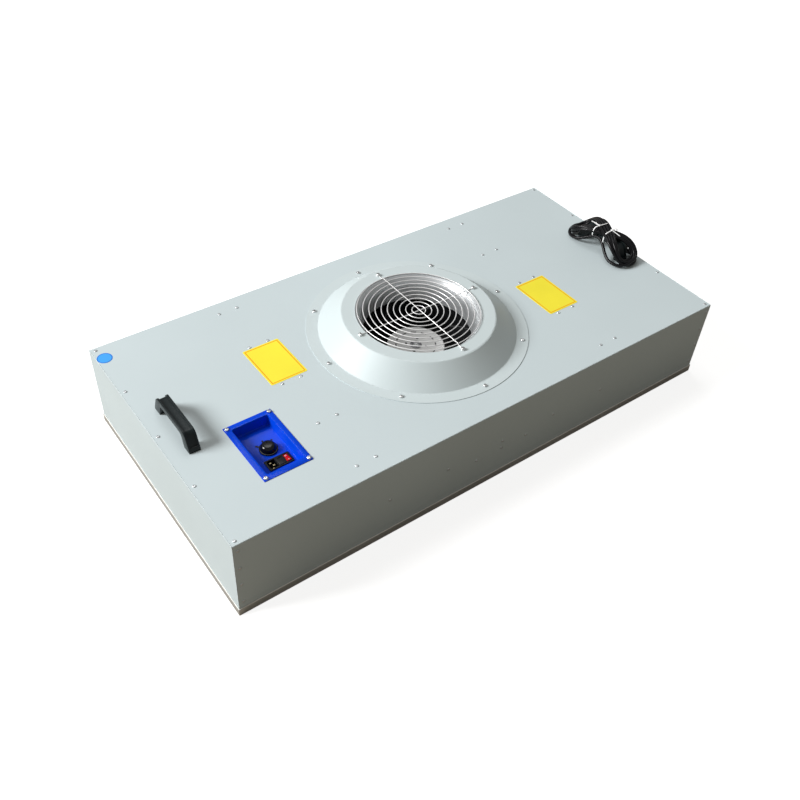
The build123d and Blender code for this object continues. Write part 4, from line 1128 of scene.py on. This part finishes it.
# ---------------------------------------------------------------- control tray
@dataclass
class ControlTray:
    """Pressed tray with a rolled mouth, sunk in the top of the housing."""

    centre: Spot = (-0.426, -0.1215)
    flange: Spot = (0.098, 0.151)
    pocket_centre: Spot = (-0.425, -0.1205)
    pocket: Spot = (0.075, 0.127)
    top_z: float = 0.1912
    depth: float = 0.023
    sheet: float = 0.0012
    taper: float = 0.0016
    corner: float = 0.005
    roll: float = 0.0016
    foot_round: float = 0.0020
    knob: Spot = (-0.421, -0.115)
    bush_radius: float = 0.0042
    inlet: Spot = (-0.4205, -0.1515)
    inlet_cut: Point = (0.0464, 0.0228, 0.006)

    def _sheet(self) -> Piece:
        """Return the top surface of the tray as one skin."""
        Bench.clear()
        bpy.ops.mesh.primitive_plane_add(size=1, location=(*self.centre, self.top_z))
        skin = bpy.context.object
        skin.scale = (*self.flange, 1)
        Bench.settle(skin)
        with Bench.editing(skin, Kind.FACE):
            bpy.ops.mesh.inset(thickness=0.01)
        heart = Vector((*self.centre, self.top_z))
        inner = min(skin.data.polygons, key=lambda face: (face.center - heart).length)
        half = [size / 2 for size in self.pocket]
        for index in inner.vertices:
            corner = skin.data.vertices[index].co
            corner.x = self.pocket_centre[0] + math.copysign(half[0], corner.x - self.centre[0])
            corner.y = self.pocket_centre[1] + math.copysign(half[1], corner.y - self.centre[1])
        middle = Vector((*self.pocket_centre, self.top_z))
        shrink = [1 - 2 * self.taper / size for size in self.pocket]
        with Bench.editing(skin, Kind.FACE, lambda spot, way: (spot - middle).length < NEAR):
            bpy.ops.mesh.extrude_region_move(TRANSFORM_OT_translate={"value": (0, 0, -self.depth)})
            bpy.ops.transform.resize(value=(*shrink, 1))
        return skin

    def _round(self, skin: Piece) -> None:
        """Round the corners, the mouth and the foot of the pocket."""
        floor = self.top_z - self.depth
        half = [size / 2 + NEAR for size in self.pocket]

        def at_mouth(middle: Vector, way: Vector) -> bool:
            """Tell whether an edge runs round the mouth."""
            inside = (
                abs(middle.x - self.pocket_centre[0]) < half[0]
                and abs(middle.y - self.pocket_centre[1]) < half[1]
            )
            return inside and abs(middle.z - self.top_z) < HAIR

        Bench.soften(skin, self.corner, 5, lambda middle, way: abs(way.z) > UPRIGHT)
        Bench.soften(skin, self.roll, 4, at_mouth)
        Bench.soften(skin, self.foot_round, 3, lambda middle, way: abs(middle.z - floor) < HAIR)

    def build(self) -> None:
        """Press the tray and cut its two holes."""
        skin = self._sheet()
        self._round(skin)
        solid = skin.modifiers.new("wall", "SOLIDIFY")
        solid.thickness = self.sheet
        solid.offset = -1
        Bench.apply_all(skin)
        floor = self.top_z - self.depth
        Bench.carve(skin, Bench.block((*self.inlet, floor), self.inlet_cut))
        bush = Bench.tube((*self.knob, floor), self.bush_radius, self.inlet_cut[2], 32)
        Bench.carve(skin, bush)
        edge = [size / 2 - NEAR for size in self.flange]

        def at_rim(middle: Vector, way: Vector) -> bool:
            """Tell whether an edge runs round the flange."""
            away = abs(middle.x - self.centre[0]), abs(middle.y - self.centre[1])
            return away[0] > edge[0] or away[1] > edge[1]

        Bench.soften(skin, Easing.PLAIN.value, 2, at_rim)
        Bench.smooth(skin, 50)
        skin.name = "pressed_tray"
        mount(skin, "unit", TRAY, "control_tray")


@dataclass
class SpeedKnob:
    """Domed knob with a pointer groove, and the marks round it."""

    centre: Spot = (-0.421, -0.115)
    floor_z: float = 0.1682
    gap: float = 0.0006
    skirt_radius: float = 0.0175
    skirt: float = 0.0026
    grip_radius: float = 0.0155
    crown_radius: float = 0.0120
    height: float = 0.013
    crown: float = 0.0052
    skirt_round: float = 0.0007
    groove: Spot = (0.0011, 0.003)
    mark_size: Spot = (0.0036, 0.0006)
    mark_lift: float = 0.00012
    mark_angles: tuple[float, ...] = (131.0, 89.0, 47.0)
    mark_reach: Spot = (0.0184, 0.0250)

    def _cap(self) -> Piece:
        """Return the turned shape of the knob."""
        foot = self.floor_z + self.gap
        cap = Bench.tube((*self.centre, foot + self.skirt / 2), self.skirt_radius, self.skirt, 64)
        rim, crest = foot + self.skirt, foot + self.height - HAIR
        share = self.crown_radius / self.grip_radius
        rise = {"value": (0, 0, self.height - self.skirt)}

        def on_skirt(middle: Vector, way: Vector) -> bool:
            """Tell whether a face or an edge lies level with the skirt's top."""
            return abs(middle.z - rim) < HAIR

        def round_skirt(middle: Vector, way: Vector) -> bool:
            """Tell whether an edge runs round the skirt's top."""
            reach = (middle.xy - Vector(self.centre)).length
            return on_skirt(middle, way) and abs(reach - self.skirt_radius) < NEAR

        with Bench.editing(cap, Kind.FACE, on_skirt):
            bpy.ops.mesh.inset(thickness=self.skirt_radius - self.grip_radius)
            bpy.ops.mesh.extrude_region_move(TRANSFORM_OT_translate=rise)
            bpy.ops.transform.resize(value=(share, share, 1))
        Bench.soften(cap, self.crown, 6, lambda middle, way: middle.z > crest)
        Bench.soften(cap, self.skirt_round, 2, round_skirt)
        return cap

    def build(self) -> None:
        """Make the knob and its marks."""
        cap = self._cap()
        crest = self.floor_z + self.gap + self.height
        x, y = self.centre
        reach, run = 0.75 * self.crown_radius, 1.1 * self.crown_radius
        width, depth = self.groove
        Bench.carve(cap, Bench.block((x, y + reach, crest), (width, run, depth)))
        Bench.smooth(cap, 32)
        cap.name = "knob_cap"
        mount(cap, "knob", KNOB, "speed_knob")
        start, end = self.mark_reach
        mark = Bench.block((0, 0, 0), (end - start, *self.mark_size))
        Bench.bevel(mark, Easing.HAIR, 1)
        foot = Matrix.Translation((x, y, self.floor_z + self.mark_lift))
        out = Matrix.Translation(((start + end) / 2, 0, 0))
        turns = [Matrix.Rotation(math.radians(angle), 4, "Z") for angle in self.mark_angles]
        marks = Bench.copies(mark, [foot @ turn @ out for turn in turns])
        mount(Bench.join(marks, "speed_marks"), "unit", INLET)


@dataclass
class RockerMarks:
    """The line and the ring moulded in the rocker, for on and off."""

    axis: Point = (-0.404, -0.1515, 0.1672)
    tilt_degrees: float = 9.0
    reach: float = 0.0058
    lift: float = 0.00262
    slope_degrees: float = 11.5
    line_size: Point = (0.0032, 0.0009, 0.0003)
    ring_size: Spot = (0.0014, 0.0006)

    def build(self) -> None:
        """Make both marks in the plane of the rocker's halves."""
        line = Bench.block((0, 0, 0), self.line_size)
        Bench.bevel(line, Easing.HAIR, 1)
        ring = Bench.ring((0, 0, 0), *self.ring_size, 24)
        tilt = Matrix.Rotation(math.radians(-self.tilt_degrees), 4, "X")
        seat = Matrix.Translation(self.axis) @ tilt
        placed = []
        for mark, side in ((line, -1), (ring, 1)):
            lean = Matrix.Rotation(math.radians(side * self.slope_degrees), 4, "X")
            place = seat @ Matrix.Translation((0, side * self.reach, self.lift)) @ lean
            placed += Bench.copies(mark, [place])
        mount(Bench.join(placed, "rocker_marks"), "rocker", TIE)


# ---------------------------------------------------------------- eased copies
@dataclass
class EasedPieces:
    """Moulded pieces whose sharp edges are rounded on a merged copy."""

    nodes: dict[str, Piece]

    def ease(self, node: str, body: str, easing: Easing, finish: Finish) -> None:
        """Copy a node, merge it, round its edges and let it stand for the node.

        Args:
            node: The node that is copied.
            body: The body that it moves with.
            easing: The width of the rounding.
            finish: Its finish.
        """
        piece = self.nodes[node].copy()
        piece.data = self.nodes[node].data.copy()
        piece.name = f"{node}_moulded"
        bpy.context.scene.collection.objects.link(piece)
        with Bench.editing(piece, Kind.FACE):
            bpy.ops.mesh.remove_doubles(threshold=MERGE)
        Bench.bevel(piece, easing, 2, 40)
        Bench.smooth(piece, 30)
        mount(piece, body, finish, node)

    def build(self) -> None:
        """Ease every moulded piece."""
        self.ease("power_inlet", "unit", Easing.FINE, INLET)
        self.ease("fuse_drawer", "fuse_drawer", Easing.FINE, INLET)
        self.ease("rocker", "rocker", Easing.SOFT, ROCKER)
        self.ease("handle_left", "unit", Easing.FULL, HANDLE)
        self.ease("handle_right", "unit", Easing.FULL, HANDLE)


# ---------------------------------------------------------------- packed lead's ends
@dataclass(frozen=True)
class EndPiece:
    """Moulded end of the lead: a body, grip ribs and a tapered relief."""

    name: str
    node: str
    way: int
    size: Point
    edge: float
    rib_count: int = 4
    blades: tuple[Spot, ...] = ()
    blade_size: Point = (0.0016, 0.015, 0.006)
    blade_bite: float = 0.001
    holes: tuple[Spot, ...] = ()
    hole_size: Point = (0.0024, 0.016, 0.0046)
    x: float = 0.5735
    middle: float = 0.026
    panel_z: float = 0.190
    relief: float = 0.021
    relief_radii: Spot = (0.0056, 0.0042)
    ring_count: int = 5
    ring_start: float = 0.8
    ring_end: float = 0.4
    ring_wire: float = 0.0011
    rib_start: float = 0.0015
    rib_pitch: float = 0.0032
    rib_width: float = 0.0013
    rib_stand: float = 0.0012

    def _relief(self, tail: float, axis_z: float) -> list[Piece]:
        """Return the tapered relief and its rings."""
        Bench.clear()
        bpy.ops.mesh.primitive_cone_add(
            vertices=28,
            radius1=self.relief_radii[0],
            radius2=self.relief_radii[1],
            depth=self.relief,
            location=(self.x, self.way * (tail + self.relief / 2), axis_z),
            rotation=(-self.way * math.pi / 2, 0, 0),
        )
        cone = bpy.context.object
        Bench.bevel(cone, Easing.WIDE)
        pieces = [cone]
        big, small = self.relief_radii
        for step in range(self.ring_count):
            share = (step + self.ring_start) / (self.ring_count + self.ring_end)
            ring = Bench.ring((0, 0, 0), big + (small - big) * share, self.ring_wire, 28)
            ring.rotation_euler = (math.pi / 2, 0, 0)
            ring.location = (self.x, self.way * (tail + share * self.relief), axis_z)
            pieces.append(ring)
        for piece in pieces:
            Bench.settle(piece)
        return pieces

    def build(self) -> Piece:
        """Mould the piece and return it."""
        width, length, height = self.size
        axis_z = self.panel_z + height / 2
        body = Bench.block((self.x, self.way * self.middle, axis_z), (width, length, height))
        Bench.bevel(body, self.edge, 4)
        for x, z in self.holes:
            nose = self.way * (self.middle - length / 2)
            Bench.carve(body, Bench.block((self.x + x, nose, axis_z + z), self.hole_size))
        pieces = [body, *self._relief(self.middle + length / 2, axis_z)]
        rib_size = (width + self.rib_stand, self.rib_width, height - 2 * self.edge)
        for step in range(self.rib_count):
            y = self.way * (self.middle + self.rib_start + self.rib_pitch * step)
            rib = Bench.block((self.x, y, axis_z), rib_size)
            Bench.bevel(rib, Easing.PLAIN)
            pieces.append(rib)
        end = Bench.join(pieces, self.name)
        Bench.smooth(end, 35)
        blades = []
        for x, z in self.blades:
            y = self.way * (self.middle - length / 2 - self.blade_size[1] / 2 + self.blade_bite)
            blade = Bench.block((self.x + x, y, axis_z + z), self.blade_size)
            Bench.bevel(blade, Easing.FINE)
            blades.append(blade)
        if blades:
            mount(Bench.join(blades, f"{self.name}_blades"), "unit", PIN)
        mount(end, "unit", PLUG, self.node)
        return end


# ---------------------------------------------------------------- mains lead
@dataclass
class LeadTies:
    """Two plastic straps round the bar and the strands that cross it."""

    handle_x: float = 0.540
    spots: Spot = (-0.014, 0.015)
    low: float = 0.2178
    high: float = 0.2450
    half_width: float = 0.0238
    corner: float = 0.0105
    band: float = 0.0026
    thickness: float = 0.0008
    tail: float = 0.026
    leans: Spot = (4.0, -7.0)
    lock_shifts: Spot = (0.004, -0.006)
    lock_size: Point = (0.0052, 0.0042, 0.0028)
    lock_bite: float = 0.0002
    droop: float = -5.0
    edge: float = 0.00025

    def _strap(self, y: float, lean: float) -> Piece:
        """Return one closed strap at a place along the bar."""
        Bench.clear()
        bpy.ops.mesh.primitive_plane_add(size=1, location=(0, 0, 0))
        strap = bpy.context.object
        strap.scale = (2 * self.half_width, self.high - self.low, 1)
        Bench.settle(strap)
        with Bench.editing(strap, Kind.VERTEX):
            bpy.ops.mesh.bevel(offset=self.corner, segments=7, affect="VERTICES")
            bpy.ops.mesh.select_all(action="SELECT")
            bpy.ops.mesh.delete(type="ONLY_FACE")
            bpy.ops.mesh.select_all(action="SELECT")
            bpy.ops.mesh.extrude_region_move(TRANSFORM_OT_translate={"value": (0, 0, self.band)})
        Bench.outward(strap)
        wall = strap.modifiers.new("wall", "SOLIDIFY")
        wall.thickness = self.thickness
        wall.offset = 0
        Bench.apply_all(strap)
        Bench.bevel(strap, self.edge, 2, 50)
        middle = Vector((self.handle_x, y, (self.low + self.high) / 2))
        turn = Matrix.Rotation(math.radians(lean), 4, "Z") @ Matrix.Rotation(math.pi / 2, 4, "X")
        strap.data.transform(Matrix.Translation(middle) @ turn)
        return strap

    def build(self) -> Piece:
        """Make both straps, with the lock and the tail of each."""
        pieces = []
        for y, lean, shift in zip(self.spots, self.leans, self.lock_shifts):
            x, side = self.handle_x + shift, math.copysign(1, y)
            lock = Bench.block((x, y, self.high - self.lock_bite), self.lock_size)
            Bench.bevel(lock, Easing.SOFT)
            tail = Bench.block((0, side * self.tail / 2, 0), (self.band, self.tail, self.thickness))
            Bench.bevel(tail, self.edge)
            place = Matrix.Translation((x, y, self.high + self.lock_bite))
            droop = Matrix.Rotation(math.radians(self.droop * side), 4, "X")
            pieces += [self._strap(y, lean), lock, *Bench.copies(tail, [place @ droop])]
        ties = Bench.join(pieces, "lead_ties")
        Bench.smooth(ties)
        mount(ties, "unit", TIE, "cord_ties")
        return ties


@dataclass
class MainsLead:
    """The mains lead, wound in a figure of eight round the right handle."""

    handle_x: float = 0.540
    panel_z: float = 0.190
    diameter: float = 0.007
    length: float = 2.22
    pitch: float = 0.0074
    points_per_half_turn: int = 12
    front_tips: tuple[Point, ...] = (
        (0.088, 0.029, 0.0039),
        (0.081, 0.027, 0.0039),
        (0.086, 0.0285, 0.0109),
        (0.079, 0.0265, 0.0109),
        (0.090, 0.0305, 0.0109),
    )
    back_tips: tuple[Point, ...] = (
        (0.087, 0.0295, 0.0039),
        (0.080, 0.027, 0.0109),
        (0.090, 0.0305, 0.0109),
        (0.083, 0.0275, 0.0039),
    )
    slots: tuple[float, ...] = (-1.5, -0.5, 0.5, 1.5)
    ripple: float = 0.06
    spacing: float = 0.87
    stagger: float = 0.49
    swell: float = 1.2
    upper_crossing: float = 0.0508
    lower_crossing: float = 0.0436
    lead_in: tuple[Point, ...] = (
        (0.0335, -0.056, 0.0080),
        (0.0335, -0.064, 0.0074),
        (0.0320, -0.0722, 0.0062),
        (0.0279, -0.0794, 0.0050),
        (0.0210, -0.0848, 0.0042),
        (0.0110, -0.088, 0.0039),
    )
    lead_out: tuple[Point, ...] = (
        (-0.012, -0.0895, 0.0100),
        (-0.023, -0.0845, 0.0085),
        (-0.031, -0.076, 0.0072),
        (-0.035, -0.064, 0.0070),
        (-0.0355, -0.050, 0.0095),
        (-0.031, -0.035, 0.0170),
        (-0.024, -0.020, 0.0270),
        (-0.019, -0.007, 0.0335),
        (-0.018, 0.006, 0.0345),
        (-0.021, 0.020, 0.0290),
        (-0.0275, 0.034, 0.0190),
        (-0.033, 0.048, 0.0110),
        (-0.035, 0.062, 0.0076),
        (-0.032, 0.075, 0.0068),
        (-0.0245, 0.085, 0.0076),
        (-0.013, 0.091, 0.0095),
        (-0.001, 0.0925, 0.0108),
        (0.010, 0.091, 0.0107),
        (0.020, 0.087, 0.0103),
        (0.028, 0.0805, 0.0098),
        (0.0324, 0.0725, 0.0093),
        (0.0335, 0.064, 0.0090),
        (0.0335, 0.054, 0.0090),
    )

    def _half_turn(
        self, start: Point, end: Point, slot: float, crossing: float, to_back: bool
    ) -> list[Point]:
        """Return the points from one tip, over the bar, to the other tip.

        Args:
            start: Reach, half width and height of the loop that is left.
            end: The same of the loop that is reached.
            slot: Place among the strands that cross side by side.
            crossing: Height of the strand over the bar.
            to_back: Whether the strand runs from the front to the back.

        Returns:
            Points relative to the middle of the handle, on the panel.
        """
        points = []
        side = 1 if to_back else -1
        for step in range(self.points_per_half_turn):
            share = step / self.points_per_half_turn
            ease = share * share * (3 - 2 * share)
            reach, half, low = (a + (b - a) * ease for a, b in zip(start, end))
            angle = math.pi * share
            lift = math.sin(angle) ** 2
            x = -half * (math.sin(2 * angle) + self.ripple * math.sin(4 * angle))
            x += self.spacing * self.pitch * slot * lift
            y = -side * (reach * math.cos(angle) + self.stagger * self.pitch * slot * lift)
            z = low + (crossing - low) * (lift + self.swell * lift * lift * (1 - lift))
            points.append((x, y, z))
        return points

    def route(self) -> list[Vector]:
        """Return the control points of the whole lead."""
        points = list(self.lead_in)
        tips = zip(self.front_tips, self.back_tips, self.front_tips[1:], self.slots)
        for front, back, front_next, slot in tips:
            points += self._half_turn(front, back, slot, self.upper_crossing, True)
            points += self._half_turn(back, front_next, slot, self.lower_crossing, False)
        points += self.lead_out
        return [Vector((self.handle_x + x, y, self.panel_z + z)) for x, y, z in points]

    def build(self, *with_pieces: Piece) -> None:
        """Args:
            with_pieces: The pieces that go with it. Not used.
        """
        route = self.route()
        curve = bpy.data.curves.new("wound_lead", "CURVE")
        curve.dimensions = "3D"
        curve.bevel_depth = self.diameter / 2
        curve.bevel_resolution = 4
        curve.resolution_u = 6
        curve.use_fill_caps = True
        spline = curve.splines.new("NURBS")
        spline.points.add(len(route) - 1)
        for knot, place in zip(spline.points, route):
            knot.co = (*place, 1.0)
        spline.order_u = 3
        spline.use_endpoint_u = True
        lead = bpy.data.objects.new("wound_lead", curve)
        bpy.context.scene.collection.objects.link(lead)
        mount(lead, "unit", CORD, "cord_hank")


# ---------------------------------------------------------------- frame nodes
class PackedUnit:
    """The CAD nodes that stay, with their finishes."""

    def __init__(self, frame: dict) -> None:
        """Keep the loaded frame."""
        self.nodes = frame["nodes"]

    def dress(self) -> None:
        """Give each CAD node its finish."""
        for finish, nodes in NODE_FINISHES.items():
            for node in nodes:
                wear(self.nodes[node], finish)
                LOG.info("%s wears %s", node, finish.name)


def main() -> None:
    """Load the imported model, dress it and light it."""
    logging.basicConfig(level=logging.INFO, format="%(name)s: %(message)s")
    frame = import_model()
    bpy.context.scene.view_settings.view_transform = "Standard"
    studio = Studio()
    studio.place_camera()
    live, neutral = (-0.006, -0.002), (0.006, -0.002)
    plug = EndPiece(
        name="plug_body",
        node="mains_plug",
        way=1,
        size=(0.022, 0.030, 0.018),
        edge=0.004,
        blades=(live, neutral, (0.0, 0.004)),
    )
    connector = EndPiece(
        name="connector_body",
        node="cord_connector",
        way=-1,
        size=(0.022, 0.030, 0.016),
        edge=0.0025,
        holes=(live, neutral, (0.0, 0.003)),
    )
    MainsLead().build(plug.build(), connector.build(), LeadTies().build())
    PackedUnit(frame).dress()
    for model in (
        EasedPieces(frame["nodes"]),
        ControlTray(),
        SpeedKnob(),
        RockerMarks(),
        FingerGuard(),
        RotorFace(),
        RoundSticker(),
        FoldedEdges(),
        Fasteners(),
    ):
        model.build()
    studio.light()
    studio.lay_floor()


if __name__ == "__main__":
    main()
